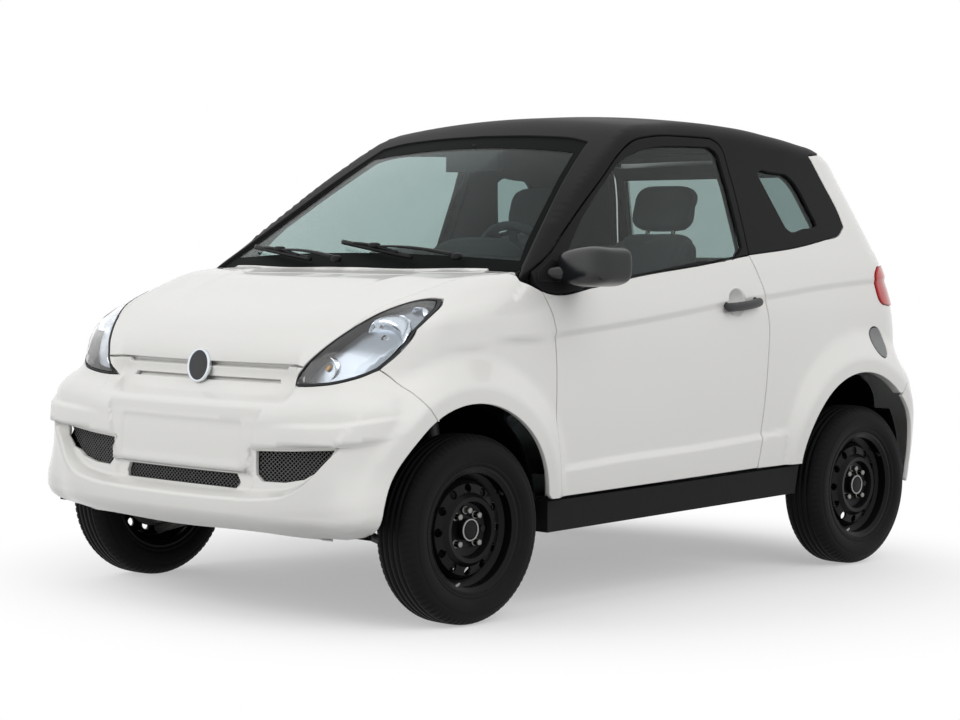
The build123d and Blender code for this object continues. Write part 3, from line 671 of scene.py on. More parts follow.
def panel(view, loop, depth=0.014, holes=(), lines=(), step=STEP, backed=False, roll=ROLL, hole_depth=None):
    """A sheet on the form inside a loop: vertices, faces, normals, and which faces are its back."""
    outer = turned_round(np.asarray(loop, float))
    holes = [turned_round(np.asarray(hole, float)) for hole in holes]
    loops = [shrunk(outer, roll)] + [shrunk(hole, -roll) for hole in holes]
    fixed = np.concatenate(loops + [np.asarray(line, float) for line in lines])
    low, high = outer.min(0), outer.max(0)
    columns = np.arange(low[0] + step / 2, high[0], step)
    heights = np.arange(low[1] + step / 2, high[1], step * 0.87)
    grid = np.array([(x + (j % 2) * step / 2, y) for j, y in enumerate(heights) for x in columns])
    grid = grid[within(grid, loops[0])]
    for hole in loops[1:]:
        grid = grid[~within(grid, hole)]
    grid = clear_of(grid, fixed, step * 0.6)
    edges = []
    start = 0
    for loop in loops:
        edges += [(start + i, start + (i + 1) % len(loop)) for i in range(len(loop))]
        start += len(loop)
    for line in lines:
        edges += [(start + i, start + i + 1) for i in range(len(line) - 1)]
        start += len(line)
    flat = np.concatenate([fixed, grid])
    found = geometry.delaunay_2d_cdt([Vector(p) for p in flat], edges, [], 0, 1e-6)
    flat = np.array([tuple(p) for p in found[0]])
    faces = np.array(found[2])
    middle = flat[faces].mean(1)
    keep = within(middle, loops[0])
    for hole in loops[1:]:
        keep &= ~within(middle, hole)
    faces = faces[keep]
    index = {source: new for new, sources in enumerate(found[3]) for source in sources}
    points, normals = view.lay(flat)
    corner = points[faces[:, 0]], points[faces[:, 1]], points[faces[:, 2]]
    facing = np.cross(corner[1] - corner[0], corner[2] - corner[0])
    if np.sum(facing * normals[faces[:, 0]]) < 0:
        faces = faces[:, ::-1]
    all_points, all_normals = [points], [normals]
    all_faces, back = [tuple(f) for f in faces], [False] * len(faces)
    count = len(points)
    if backed:
        all_points.append(points - normals * depth)
        all_normals.append(-normals)
        all_faces += [tuple(count + i for i in f[::-1]) for f in faces]
        back += [True] * len(faces)
        count *= 2
    start = 0
    for k, loop in enumerate(loops):
        sunk_by = depth if k == 0 or hole_depth is None else hole_depth
        rim = outer if k == 0 else holes[k - 1]
        previous = [index[start + i] for i in range(len(loop))]
        start += len(loop)
        lip, lip_normal = view.lay(rim)
        toward = lip - points[previous]
        toward -= lip_normal * np.sum(toward * lip_normal, axis=1, keepdims=True)
        toward /= np.maximum(np.linalg.norm(toward, axis=1, keepdims=True), 1e-9)
        half_lip = view.lay(shrunk(rim, roll * 0.3 if k == 0 else -roll * 0.3))[0]
        rims = (
            (half_lip - lip_normal * roll * 0.3, lip_normal + toward * 0.8),
            (lip - lip_normal * roll, lip_normal * 0.2 + toward),
            (lip - lip_normal * sunk_by, toward),
        )
        clockwise = np.sum(np.cross(points[previous[1]] - points[previous[0]], toward[0]) * lip_normal[0]) > 0
        for place, normal in rims:
            all_points.append(place)
            all_normals.append(normal / np.maximum(np.linalg.norm(normal, axis=1, keepdims=True), 1e-9))
            row = [count + i for i in range(len(loop))]
            count += len(loop)
            for i in range(len(loop)):
                j = (i + 1) % len(loop)
                quad = (previous[i], previous[j], row[j], row[i])
                all_faces.append(quad[::-1] if not clockwise else quad)
                back.append(False)
            previous = row
    return np.concatenate(all_points), all_faces, np.concatenate(all_normals), back


def mirrored(shape):
    """The same shape on the other side of the car."""
    points, faces, normals, back = shape
    flip = np.array([-1.0, 1.0, 1.0])
    return points * flip, [f[::-1] for f in faces], None if normals is None else normals * flip, back


def merged(*shapes):
    """Several shapes as one."""
    points, faces, normals, back = [], [], [], []
    count = 0
    for shape in shapes:
        points.append(shape[0])
        faces += [tuple(count + i for i in f) for f in shape[1]]
        normals.append(shape[2] if shape[2] is not None else np.zeros_like(shape[0]))
        back += list(shape[3]) if len(shape[3]) else [False] * len(shape[1])
        count += len(shape[0])
    return np.concatenate(points), faces, np.concatenate(normals), back


def plain(*shapes):
    """Several shapes as one, with the normals left to the mesh."""
    points, faces, _, back = merged(*shapes)
    return points, faces, None, back


def piece(name, shape, finish, body, stands_for=(), inner=None):
    """A shape drawn about the car's middle plane, as an object: finish, body and the nodes it replaces."""
    points, faces, normals, back = shape
    mesh = bpy.data.meshes.new(name)
    mesh.from_pydata((points + np.array([CAR_MIDDLE_X, 0, 0])).tolist(), [], faces)
    mesh.materials.append(finish)
    if inner is not None:
        mesh.materials.append(inner)
        mesh.polygons.foreach_set("material_index", [1 if b else 0 for b in back])
    mesh.polygons.foreach_set("use_smooth", [True] * len(mesh.polygons))
    if normals is not None:
        mesh.normals_split_custom_set_from_vertices(normals.tolist())
    mesh.update()
    made = bpy.data.objects.new(name, mesh)
    bpy.context.scene.collection.objects.link(made)
    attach(made, body)
    if stands_for:
        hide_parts(*([stands_for] if isinstance(stands_for, str) else stands_for))
    return made


print("roll of a panel's edge:", ROLL * 1000, "mm")

# %% [markdown]
# ## Finishes
# Every finish is worked out from noise in the object's own space, so it needs no images and survives a
# change of shape. Effects that several finishes share are node groups: a fine grain that gives height
# and a light-dark mask, and a film of road dust that gathers low on the car.

# %% Shared node groups
def node_group(name, inputs, outputs):
    """An empty shader group: its inputs with their values, and its outputs."""
    group = bpy.data.node_groups.new(name, "ShaderNodeTree")
    for label, value in inputs.items():
        group.interface.new_socket(label, in_out="INPUT", socket_type="NodeSocketFloat").default_value = value
    for label in outputs:
        group.interface.new_socket(label, in_out="OUTPUT", socket_type="NodeSocketFloat")
    return group, group.nodes.new("NodeGroupInput"), group.nodes.new("NodeGroupOutput")


def make_grain():
    """Noise in object space: Height for a bump, Mask for slow light and dark."""
    group, given, result = node_group("grain", {"Scale": 900.0, "Detail": 3.0}, ("Height", "Mask"))
    place = node(group, "TexCoord")
    fine = node(group, "TexNoise")
    slow = node(group, "TexNoise", Scale=3.0)
    join(group, (place, "Object", fine, "Vector"), (place, "Object", slow, "Vector"),
         (given, "Scale", fine, "Scale"), (given, "Detail", fine, "Detail"),
         (fine, "Fac", result, "Height"), (slow, "Fac", result, "Mask"))
    return group


def make_dust():
    """A thin film that is thickest near the ground: Mask from 0 to 1."""
    group, given, result = node_group("dust", {"Top": 0.5, "Amount": 0.3}, ("Mask",))
    place = node(group, "TexCoord")
    split = node(group, "SeparateXYZ")
    fade = node(group, "MapRange", From_Min=0.05, To_Min=1.0, To_Max=0.0)
    speckle = node(group, "TexNoise", Scale=22.0, Detail=5.0)
    join(group, (place, "Object", split, 0), (place, "Object", speckle, "Vector"),
         (split, "Z", fade, "Value"), (given, "Top", fade, "From Max"))
    both = maths(group, "MULTIPLY", fade.outputs["Result"], speckle.outputs["Fac"])
    group.links.new(maths(group, "MULTIPLY", both, given.outputs["Amount"]), result.inputs["Mask"])
    return group


def make_weave():
    """Crossing threads: Height for a bump, Mask between warp and weft."""
    group, given, result = node_group("weave", {"Threads": 700.0}, ("Height", "Mask"))
    grow = node(group, "VectorMath")
    grow.operation = "SCALE"
    warp, weft = [node(group, "TexWave", Scale=1.0, Distortion=0.6) for _ in range(2)]
    warp.bands_direction, weft.bands_direction = "X", "Z"
    join(group, (node(group, "TexCoord"), "Object", grow, 0), (given, "Threads", grow, "Scale"),
         (grow, 0, warp, "Vector"), (grow, 0, weft, "Vector"), (warp, "Fac", result, "Mask"))
    cross = maths(group, "MULTIPLY", warp.outputs["Fac"], weft.outputs["Fac"])
    group.links.new(cross, result.inputs["Height"])
    return group


GROUPS = {"grain": make_grain(), "dust": make_dust(), "weave": make_weave()}
print("node groups:", ", ".join(GROUPS))

# %% Finishes built from the groups
def placed(tree, group, **values):
    """A shared group in a material, with its own values."""
    made = node(tree, "Group")
    made.node_tree = GROUPS[group]
    set_inputs(made, **values)
    return made


def spread(tree, factor, low, high):
    """A number between two, by a mask."""
    span = node(tree, "MapRange", To_Min=low, To_Max=high)
    tree.links.new(factor, span.inputs["Value"])
    return span.outputs["Result"]


def bumped(tree, shader, height, distance):
    """Small relief from a height."""
    bump = node(tree, "Bump", Distance=distance, Strength=1.0)
    tree.links.new(height, bump.inputs["Height"])
    join(tree, (bump, "Normal", shader, "Normal"))


DUST = (0.42, 0.39, 0.34)


def finish(name, slot, light, dark, rough=(0.3, 0.4), scale=900.0, relief=0.0, coat=0.0, metal=0.0,
           dust=0.0, dust_top=0.5, weave=0.0, coat_rough=0.05, sheen=0.0, spec=0.5):
    """A finish whose colour moves slowly between two, with a fine grain and a film of dust."""
    material, tree, shader = new_material(name)
    material["slot"] = slot
    set_inputs(shader, Metallic=metal, Coat_Weight=coat, Coat_Roughness=coat_rough, Sheen_Weight=sheen,
               Specular_IOR_Level=spec)
    grain = placed(tree, "grain", Scale=scale)
    colour = mixed(tree, grain.outputs["Mask"], dark, light)
    if weave:
        threads = placed(tree, "weave", Threads=weave)
        colour = mixed(tree, threads.outputs["Mask"], colour, light)
    if dust:
        film = placed(tree, "dust", Amount=dust, Top=dust_top)
        colour = mixed(tree, film.outputs["Mask"], colour, DUST)
    tree.links.new(colour, shader.inputs["Base Color"])
    tree.links.new(spread(tree, grain.outputs["Mask"], *rough), shader.inputs["Roughness"])
    if relief:
        height = threads.outputs["Height"] if weave else grain.outputs["Height"]
        bumped(tree, shader, height, relief)
    return material


def clear(name, slot, tint, rough=0.0, ior=1.45):
    """Glass or clear plastic: a plain transmission, tinted, with a faint unevenness."""
    material, tree, shader = new_material(name)
    material["slot"] = slot
    set_inputs(shader, Transmission_Weight=1.0, IOR=ior, Roughness=rough)
    grain = placed(tree, "grain", Scale=4.0)
    darker = tuple(0.97 * c for c in tint)
    tree.links.new(mixed(tree, grain.outputs["Mask"], darker, tint), shader.inputs["Base Color"])
    return material


white_paint = finish("white_paint", "body_white", (0.835, 0.828, 0.805), (0.820, 0.813, 0.790),
                     rough=(0.30, 0.36), scale=420.0, relief=0.00002, coat=0.55, coat_rough=0.06,
                     dust=0.05, dust_top=0.45)
black_paint = finish("black_paint", "roof_black", (0.016, 0.016, 0.017), (0.012, 0.012, 0.013),
                     rough=(0.42, 0.50), scale=420.0, relief=0.00002, spec=0.06)
black_trim = finish("black_trim", "trim_black", (0.016, 0.016, 0.017), (0.011, 0.011, 0.012),
                    rough=(0.48, 0.62), scale=2600.0, relief=0.00012, dust=0.02, spec=0.08)
cabin_trim = finish("cabin_trim", "cabin_plastic", (0.052, 0.054, 0.056), (0.038, 0.040, 0.042),
                    rough=(0.55, 0.70), scale=1500.0, relief=0.00003, spec=0.14)
headliner = finish("headliner", "cabin_plastic", (0.11, 0.11, 0.108), (0.09, 0.09, 0.089),
                   rough=(0.8, 0.95), scale=2000.0, relief=0.00004, spec=0.06)
mesh_wire = finish("mesh_wire", "mesh_grey", (0.170, 0.172, 0.170), (0.120, 0.122, 0.121),
                   rough=(0.40, 0.55), scale=3000.0, relief=0.00004)
# Near black with no sheen: the black plastic of the trough and arch liners, and painted shade behind the bumper
# openings and in the fuel flap's well.
black_plastic_and_painted_shade = finish("black_plastic_and_painted_shade", "trim_black", (0.008, 0.008, 0.008), (0.005, 0.005, 0.005),
                    rough=(0.8, 0.9), scale=800.0, spec=0.0)
mirror_black = finish("mirror_black", "trim_black", (0.010, 0.011, 0.012), (0.008, 0.009, 0.010),
                      rough=(0.16, 0.24), scale=900.0, relief=0.00003, spec=0.50)
handle_black = finish("handle_black", "trim_black", (0.040, 0.041, 0.043), (0.032, 0.033, 0.035),
                      rough=(0.36, 0.46), scale=1400.0, relief=0.00006, spec=0.35)
wiper_black = finish("wiper_black", "trim_black", (0.012, 0.012, 0.013), (0.008, 0.008, 0.009),
                     rough=(0.40, 0.52), scale=1200.0, relief=0.00004, spec=0.20)
border_black = finish("border_black", "trim_black", (0.008, 0.009, 0.009), (0.006, 0.007, 0.007),
                      rough=(0.46, 0.56), scale=300.0, spec=0.015)
lamp_rubber = finish("lamp_rubber", "trim_black", (0.034, 0.035, 0.037), (0.026, 0.027, 0.029),
                     rough=(0.45, 0.55), scale=1600.0, relief=0.00004, spec=0.25)
flap_grey = finish("flap_grey", "trim_black", (0.215, 0.217, 0.220), (0.185, 0.187, 0.190),
                   rough=(0.38, 0.48), scale=2200.0, relief=0.00006, spec=0.30)
wheel_paint = finish("wheel_paint", "wheel_black", (0.006, 0.006, 0.007), (0.004, 0.004, 0.005),
                     rough=(0.22, 0.32), scale=600.0, relief=0.00003, dust=0.01, spec=0.12)
rubber = finish("rubber", "tyre_black", (0.010, 0.010, 0.011), (0.007, 0.007, 0.008),
                rough=(0.50, 0.64), scale=1800.0, relief=0.00010, dust=0.015, dust_top=0.35, spec=0.08)
chrome = finish("chrome", "lamp_clear", (0.82, 0.86, 0.90), (0.76, 0.80, 0.85), rough=(0.05, 0.09),
                scale=300.0, metal=1.0)
lamp_chrome = finish("lamp_chrome", "lamp_clear", (0.74, 0.80, 0.88), (0.66, 0.72, 0.80), rough=(0.10, 0.16),
                     scale=120.0, metal=1.0, relief=0.00006)
lamp_silver = finish("lamp_silver", "lamp_clear", (0.40, 0.44, 0.49), (0.33, 0.36, 0.41), rough=(0.24, 0.34),
                     scale=500.0, metal=0.85, relief=0.00004)
satin_silver = finish("satin_silver", "lamp_clear", (0.42, 0.43, 0.45), (0.36, 0.37, 0.39), rough=(0.22, 0.32),
                      scale=900.0, metal=0.9)
zinc = finish("zinc", "frame_metal", (0.30, 0.30, 0.29), (0.22, 0.22, 0.21), rough=(0.34, 0.50), scale=700.0,
              metal=1.0, relief=0.00005, dust=0.15)
frame_paint = finish("frame_paint", "frame_metal", (0.055, 0.056, 0.058), (0.040, 0.041, 0.043),
                     rough=(0.42, 0.58), scale=900.0, relief=0.00008, dust=0.25)
hub_metal = finish("hub_metal", "frame_metal", (0.34, 0.34, 0.34), (0.26, 0.26, 0.26), rough=(0.28, 0.38),
                   scale=900.0, metal=1.0, relief=0.00003)
cast_metal = finish("cast_metal", "dark_metal", (0.11, 0.11, 0.11), (0.07, 0.07, 0.07), rough=(0.45, 0.65),
                    scale=700.0, metal=0.6, relief=0.00025, dust=0.25)
seat_cloth = finish("seat_cloth", "seat_cloth", (0.085, 0.087, 0.092), (0.045, 0.046, 0.050),
                    rough=(0.80, 0.95), weave=900.0, relief=0.0004, sheen=0.3, spec=0.10)
tinted_glass = clear("tinted_glass", "glass_tint", (0.60, 0.68, 0.66), ior=1.25)
screen_glass = clear("screen_glass", "glass_tint", (0.48, 0.58, 0.57), ior=1.15)
quarter_glass = clear("quarter_glass", "glass_tint", (0.38, 0.46, 0.45), ior=1.20)
lens_clear = clear("lens_clear", "lamp_clear", (0.97, 0.98, 0.98))
amber = clear("amber", "lamp_clear", (0.95, 0.42, 0.05), rough=0.08)
lamp_red = finish("lamp_red", "lamp_red", (0.58, 0.014, 0.011), (0.48, 0.010, 0.008), rough=(0.10, 0.18),
                  scale=160.0, relief=0.00012, coat=0.6, coat_rough=0.03)
mirror_face = finish("mirror_face", "lamp_clear", (0.80, 0.82, 0.84), (0.77, 0.79, 0.81), rough=(0.01, 0.02),
                     scale=20.0, metal=1.0)
print("finishes:", len(bpy.data.materials))

# %% [markdown]
# ## White panels
# The order on the car is bumper, bonnet, wings, doors, quarters. Their outlines are drawn in the view
# where a stylist would draw them and share their points, so the gaps between them stay even.

# %% Shared seams of the front
SHUT_LINE = 0.0012
DOOR_LINE = 0.0026
lamp_low = ((0.439, 0.718), (0.423, 0.694), (0.400, 0.664))
lamp_foot = ((0.400, 0.664), (0.495, 0.669), (0.574, 0.681), (0.627, 0.699), (0.657, 0.717))
lamp_out = ((0.657, 0.717), (0.686, 0.759), (0.701, 0.805), (0.697, 0.852), (0.680, 0.888), (0.657, 0.909))
lamp_high = ((0.657, 0.909), (0.628, 0.911), (0.601, 0.902), (0.579, 0.883), (0.553, 0.854), (0.530, 0.829))
lamp_in = ((0.530, 0.829), (0.500, 0.795), (0.472, 0.761), (0.446, 0.729), (0.439, 0.718))
STRIP_TOP = 0.716
seam_side = ((-1.194, 0.717), (-1.174, 0.697), (-1.150, 0.660), (-1.134, 0.630), (-1.112, 0.600),
             (-1.094, 0.580))
front_arch_front = arc_line(FRONT_ARCH, ARCH_RADIUS, 118.5, 188)
front_arch_rear = arc_line(FRONT_ARCH, ARCH_RADIUS, 118.5, 6)
bonnet_side = ((0.530, -1.172), (0.546, -1.10), (0.570, -1.00), (0.596, -0.905), (0.614, -0.81), (0.632, -0.70))
bonnet_rear = ((0.632, -0.70), (0.58, -0.724), (0.47, -0.768), (0.36, -0.806), (0.20, -0.828), (0.0, -0.832))
door_front = ((-0.614, 0.928), (-0.579, 0.845), (-0.569, 0.773), (-0.567, 0.614), (-0.572, 0.499),
              (-0.563, 0.330))
door_rear = ((0.392, 1.037), (0.432, 0.941), (0.457, 0.829), (0.447, 0.701), (0.424, 0.542), (0.386, 0.356))
belt = ((-0.614, 0.928), (-0.580, 0.921), (-0.361, 0.944), (-0.178, 0.971), (0.126, 1.004), (0.392, 1.037))


def inset(loop, by=SHUT_LINE):
    """A loop drawn in on all sides by half a shut line."""
    return shrunk(turned_round(np.asarray(loop, float)), by)


def sides(name, shape, finish, body, stands_for, inner=None):
    """A left-hand shape and its mirror image; the texts hold {} where the side's name goes."""
    for side, form in (("left", shape), ("right", mirrored(shape))):
        stands = [node.format(side) for node in stands_for]
        piece(name.format(side), form, finish, body.format(side), stands, inner=inner)


def whole(half):
    """A half outline that starts and ends at the middle of the car, made into a full loop."""
    half = np.asarray(half, float)
    return np.concatenate([half, flipped(half)[:-1]])


print("lamp outline:", len(lamp_foot) + len(lamp_out) + len(lamp_high) + len(lamp_in), "points")

# %% Front bumper
on_nose = [
    bow((0.0, 0.707), (0.352, 0.707)),
    bow((0.352, 0.707), (0.362, STRIP_TOP)),
    bow((0.362, STRIP_TOP), (0.439, 0.718)),
]
corner = moved(side_view, np.array([(-1.2588, 0.2522)]), nose_view)[0]
bumper_half = np.concatenate(on_nose + [
    outline(nose_view, (front_view, lamp_low), (front_view, lamp_foot), (side_view, seam_side),
            (side_view, front_arch_front)),
    bow(corner, (corner[0] - 0.10, 0.250), (0.570, 0.247), (0.480, 0.248), (0.430, 0.253), (0.0, 0.253)),
])
MESH_SIDE = ((0.322, 0.483), (0.450, 0.489), (0.602, 0.500), (0.584, 0.474), (0.549, 0.441), (0.500, 0.415),
             (0.430, 0.402), (0.345, 0.400), (0.324, 0.418), (0.322, 0.450))
MESH_MIDDLE = ((-0.244, 0.415), (0.244, 0.415), (0.257, 0.392), (0.244, 0.376), (-0.244, 0.376),
               (-0.257, 0.392))
SLOT = ((-0.330, 0.668), (0.330, 0.668), (0.323, 0.678), (-0.323, 0.678))


def nose_loop(points):
    """A closed line in front view, drawn in the nose's view."""
    return moved(front_view, closed(points), nose_view)


mesh_near = nose_loop(MESH_SIDE)
mesh_far = flipped(mesh_near)
mesh_mid = nose_loop(MESH_MIDDLE)
slot_loop = closed(SLOT)


def feature(level, low, high, count=56):
    """A line round the nose at a given height for each distance from the middle, and its mirror image."""
    around = np.linspace(low, high, count)
    height = level(around)
    for _ in range(3):
        height = level(nose_view.lay(rows(around, height))[0][:, 0])
    line = rows(around, height)
    return [line, flipped(line)]


def plate_line(out):
    """The edge of the plate's flat field, moved outwards; its last point is left out."""
    wide, low, high = PLATE_HALF + out, PLATE_LOW - out, PLATE_HIGH + out
    return closed(((-wide, low), (wide, low), (wide, high), (-wide, high)))


creases = [plate_line(-0.002), plate_line(0.002)]
for shift in (-0.005, 0.0, 0.046, 0.057, 0.068):
    creases += feature(lambda x: band_foot(x) + shift, 0.318, 0.80)
for shift in (0.0, 0.012, 0.024, 0.038):
    creases += feature(lambda x: lip_line(x) + shift, 0.004, 0.62)
uprights = [chain((x, 0.350), (x, 0.395)) for x in (POCKET_SIDE, POCKET_SIDE + 0.012)]
for across in (-0.004, 0.003):
    uprights.append(chain((0.294 + across, 0.444), (0.326 + across, 0.540), (0.3445 + across, 0.596)))
for line in uprights:
    creases += [line, flipped(line)]
for level in (0.421, 0.426):
    creases.append(chain((-0.297, level), (0.297, level)))
openings = [turned_round(loop) for loop in (mesh_near, mesh_far, mesh_mid)] + [slot_loop]
front_panel = panel(nose_view, inset(whole(bumper_half)), lines=creases, holes=openings, hole_depth=0.012)
piece("front_bumper_skin", front_panel, white_paint, "root", "front_bumper")
print("front bumper:", len(front_panel[0]), "points")

# %% [markdown]
# ## Slots and meshes behind the bumper
# The narrow slot on the nose is a groove in the white moulding, so it is backed in white. The three
# openings below are backed by a near-black sheet with no sheen, which paints the shade behind them, with
# a woven wire mesh a little ahead of it. A real mesh is crimped wire; two sets of thin bars that cross on
# the slant read the same at this size.

# %% Backs of the openings
STRIP_BACK = ((-0.43, 0.650), (0.43, 0.650), (0.43, 0.740), (-0.43, 0.740))
slot_back = panel(nose_view.on(sunk(0.020)), closed(STRIP_BACK), depth=0.004, step=0.02)
piece("grille_back", slot_back, white_paint, "root", "nose_grille")
backs = []
for loop in (mesh_near, mesh_far, mesh_mid):
    backs.append(panel(nose_view.on(sunk(0.030)), inset(loop, -0.012), depth=0.004, step=0.02))
# The backs are painted shade: a near-black sheet with no sheen for the dark seen through the openings.
piece("mesh_back", merged(*backs), black_plastic_and_painted_shade, "root", "bumper_mesh")
print("openings with a black back:", len(backs))

# %% Wire mesh
WIRE = 0.0011
WIRE_RISE = 0.0004
PITCH = 0.0095
SLANT = 38


def wires(loop, view, slant, rise):
    """Thin square bars that run across a loop at a slant, on a form."""
    low, high = loop.min(0), loop.max(0)
    span = np.linalg.norm(high - low)
    middle = (low + high) / 2
    along = np.array([math.cos(slant), math.sin(slant)])
    across = np.array([-along[1], along[0]])
    points, faces = [], []
    count = 0
    for k in range(-int(span / PITCH), int(span / PITCH) + 1):
        samples = middle + across * k * PITCH + along * np.linspace(-span, span, int(2 * span / 0.012))[:, None]
        inside = within(samples, loop)
        runs = np.flatnonzero(np.diff(np.concatenate([[0], inside.astype(int), [0]])))
        for start, stop in zip(runs[::2], runs[1::2]):
            if stop - start < 2:
                continue
            line = samples[start:stop]
            centre, normal = view.lay(line)
            centre = centre + normal * rise
            side = view.lay(line + across * WIRE)[0] - view.lay(line - across * WIRE)[0]
            side /= np.maximum(np.linalg.norm(side, axis=1, keepdims=True), 1e-9)
            for turn in range(4):
                angle = math.pi / 4 + turn * math.pi / 2
                points.append(centre + (side * math.cos(angle) + normal * math.sin(angle)) * WIRE)
            size = stop - start
            for turn in range(4):
                a, b = count + turn * size, count + (turn + 1) % 4 * size
                faces += [(a + i, a + i + 1, b + i + 1, b + i) for i in range(size - 1)]
            count += 4 * size
    return np.concatenate(points), faces, None, [False] * len(faces)


for name, loop in (("mesh_left", mesh_near), ("mesh_right", mesh_far), ("mesh_middle", mesh_mid)):
    floor_view = nose_view.on(sunk(0.014))
    grown = inset(loop, -0.004)
    woven = plain(*[wires(grown, floor_view, math.radians(turn * SLANT), turn * WIRE_RISE) for turn in (1, -1)])
    piece(name, woven, mesh_wire, "root", "bumper_mesh")
    print(name, len(woven[1]), "faces")

# %% [markdown]
# ## Bonnet, scuttle and wings
# The bonnet is one pressing from the nose strip to the scuttle, with a shallow valley beside its centre.
# The wings carry the arch flares, and a facet on their shoulder falls from an upper edge to a lower one.

# %% Bonnet
bonnet_half = outline(
    bonnet_view, (front_view, ((0.0, STRIP_TOP + 0.003), (0.439, STRIP_TOP + 0.005))),
    (front_view, lamp_in[::-1]), (top_view, bonnet_side), (top_view, bonnet_rear))
valley_at = np.linspace(-1.21, -0.86, 30)
valley = []
for shift in (-0.030, 0.020):
    line = moved(top_view, rows(valley_x(valley_at) + shift, valley_at), bonnet_view)
    valley += [line, flipped(line)]
bonnet_shape = panel(bonnet_view, inset(whole(bonnet_half)), depth=0.016, lines=valley, backed=True)
piece("bonnet_skin", bonnet_shape, white_paint, "bonnet", "bonnet", inner=white_paint)
print("bonnet:", len(bonnet_shape[0]), "points")

# %% Scuttle
scuttle_half = np.concatenate([
    bow((0.0, -0.828), (0.20, -0.824), (0.36, -0.802), (0.47, -0.764), (0.58, -0.720)),
    bow((0.58, -0.720), (0.560, -0.668)),
    bow((0.560, -0.668), (0.242, -0.717), (0.0, -0.724)),
])
scuttle = panel(top_view, inset(whole(scuttle_half)), depth=0.020)
piece("scuttle", scuttle, white_paint, "root", "cowl")
print("scuttle:", len(scuttle[0]), "points")

# %% Wings
wing_loop = outline(
    shoulder_view, (front_view, lamp_out), (front_view, lamp_high), (top_view, bonnet_side),
    (top_view, ((0.632, -0.70), (0.655, -0.668), (0.690, -0.686))),
    (side_view, ((-0.686, 0.985), (-0.686, 0.958))), (side_view, ((-0.686, 0.958), (-0.614, 0.928))),
    (side_view, door_front), (side_view, ((-0.563, 0.330), (-0.6197, 0.330))),
    (side_view, front_arch_rear[::-1]), (side_view, seam_side[::-1]))


def flare_lines(arch, start, end, view):
    """The edges of a flare's faces, for a clean crease."""
    lines = []
    for radius in (FLARE_RIDGE - 0.012, FLARE_RIDGE, FLARE_RIDGE + 0.012, FLARE_FOOT, FLARE_FOOT + 0.012):
        lines.append(moved(side_view, arc_line(arch, radius, start, end), view))
    return lines


wing_shape = panel(shoulder_view, inset(wing_loop), lines=flare_lines(FRONT_ARCH, 105, 12, shoulder_view))
sides("wing_skin_{}", wing_shape, white_paint, "root", ["wing_{}"])
print("wing:", len(wing_shape[0]), "points")

# %% [markdown]
# ## Doors
# Each door is a white skin up to the belt, a black frame above it and a pane inside the frame. The skin
# is as thick as the whole door, so that an open door shows its inner trim and its shut face.

# %% Door skins
def apart(line, loop, gap=0.004):
    """The stretches of a line that stay outside a loop."""
    free = ~within(line, shrunk(turned_round(loop), -gap))
    cuts = np.flatnonzero(np.diff(free.astype(int))) + 1
    return [part for part in np.split(line, cuts) if len(part) > 1 and not within(part[:1], loop)[0]]


sill_top = ((-0.563, 0.330), (0.386, 0.356))
door_loop = np.concatenate([bow(*belt), bow(*door_rear), bow(*sill_top[::-1]), bow(*door_front[::-1])])
along_door = np.linspace(-0.546, 0.424, 84)
UPPER_CREASE_STEPS = (-0.015, -0.006, 0.003, 0.013)
LOWER_CREASE_STEPS = (-0.014, -0.005, 0.005, 0.014)
door_creases = [rows(along_door, upper_crease(along_door) + by) for by in UPPER_CREASE_STEPS]
door_creases += [rows(along_door, lower_crease(along_door) + by) for by in LOWER_CREASE_STEPS]
DISH_AT = (0.289, 0.888)
DISH_RADIUS = 0.045
dish_hole = circle(DISH_AT, DISH_RADIUS)
door_creases = [part for line in door_creases for part in apart(line, dish_hole)]
DOOR_DEPTH = 0.052
door_shape = panel(side_view, inset(door_loop, DOOR_LINE), depth=DOOR_DEPTH, lines=door_creases,
                   holes=[dish_hole], hole_depth=0.014, backed=True)
sides("door_skin_{}", door_shape, white_paint, "door_{}", ["door_{}"], inner=cabin_trim)
print("door:", len(door_shape[0]), "points")

# %% Door frames and panes
frame_out = ((-0.640, 0.985), (-0.556, 1.034), (-0.478, 1.093), (-0.355, 1.182), (-0.224, 1.272),
             (-0.118, 1.346), (-0.040, 1.386), (0.060, 1.405), (0.220, 1.411), (0.352, 1.410))
frame_back = ((0.352, 1.410), (0.392, 1.392), (0.408, 1.290), (0.403, 1.160), (0.392, 1.037))
frame_loop = np.concatenate([bow(*frame_out), bow(*frame_back), bow(*belt[::-1]),
                             bow((-0.614, 0.928), (-0.640, 0.950), (-0.640, 0.985))])
pane_loop = np.concatenate([
    bow((-0.500, 1.012), (-0.455, 1.062), (-0.237, 1.244), (-0.115, 1.323), (-0.040, 1.350), (0.039, 1.368),
        (0.180, 1.378), (0.335, 1.381)),
    bow((0.335, 1.381), (0.366, 1.365), (0.376, 1.293), (0.372, 1.160), (0.366, 1.062)),
    bow((0.366, 1.062), (0.345, 1.044), (0.126, 1.016), (-0.201, 0.975), (-0.480, 0.950), (-0.510, 0.965),
        (-0.500, 1.012)),
])
frame_shape = panel(side_view, inset(frame_loop, DOOR_LINE), depth=0.034, holes=[pane_loop], backed=True,
                    hole_depth=0.016)
sides("door_frame_{}", frame_shape, black_paint, "door_{}", ["door_{}"], inner=cabin_trim)
pane_shape = panel(side_view.on(glass_form), inset(pane_loop, -0.006), depth=0.004, step=0.03, backed=True)
sides("door_pane_{}", pane_shape, tinted_glass, "door_{}", ["door_glass_{}"])
print("door frame:", len(frame_shape[0]), "points")

# %% [markdown]
# ## Rear quarters, tailgate and rear bumper
# The quarter is one pressing from the door's shut line round the rear corner, with the white pillar
# behind the small window. Rays that turn about an upright axis inside the corner reach all of it.

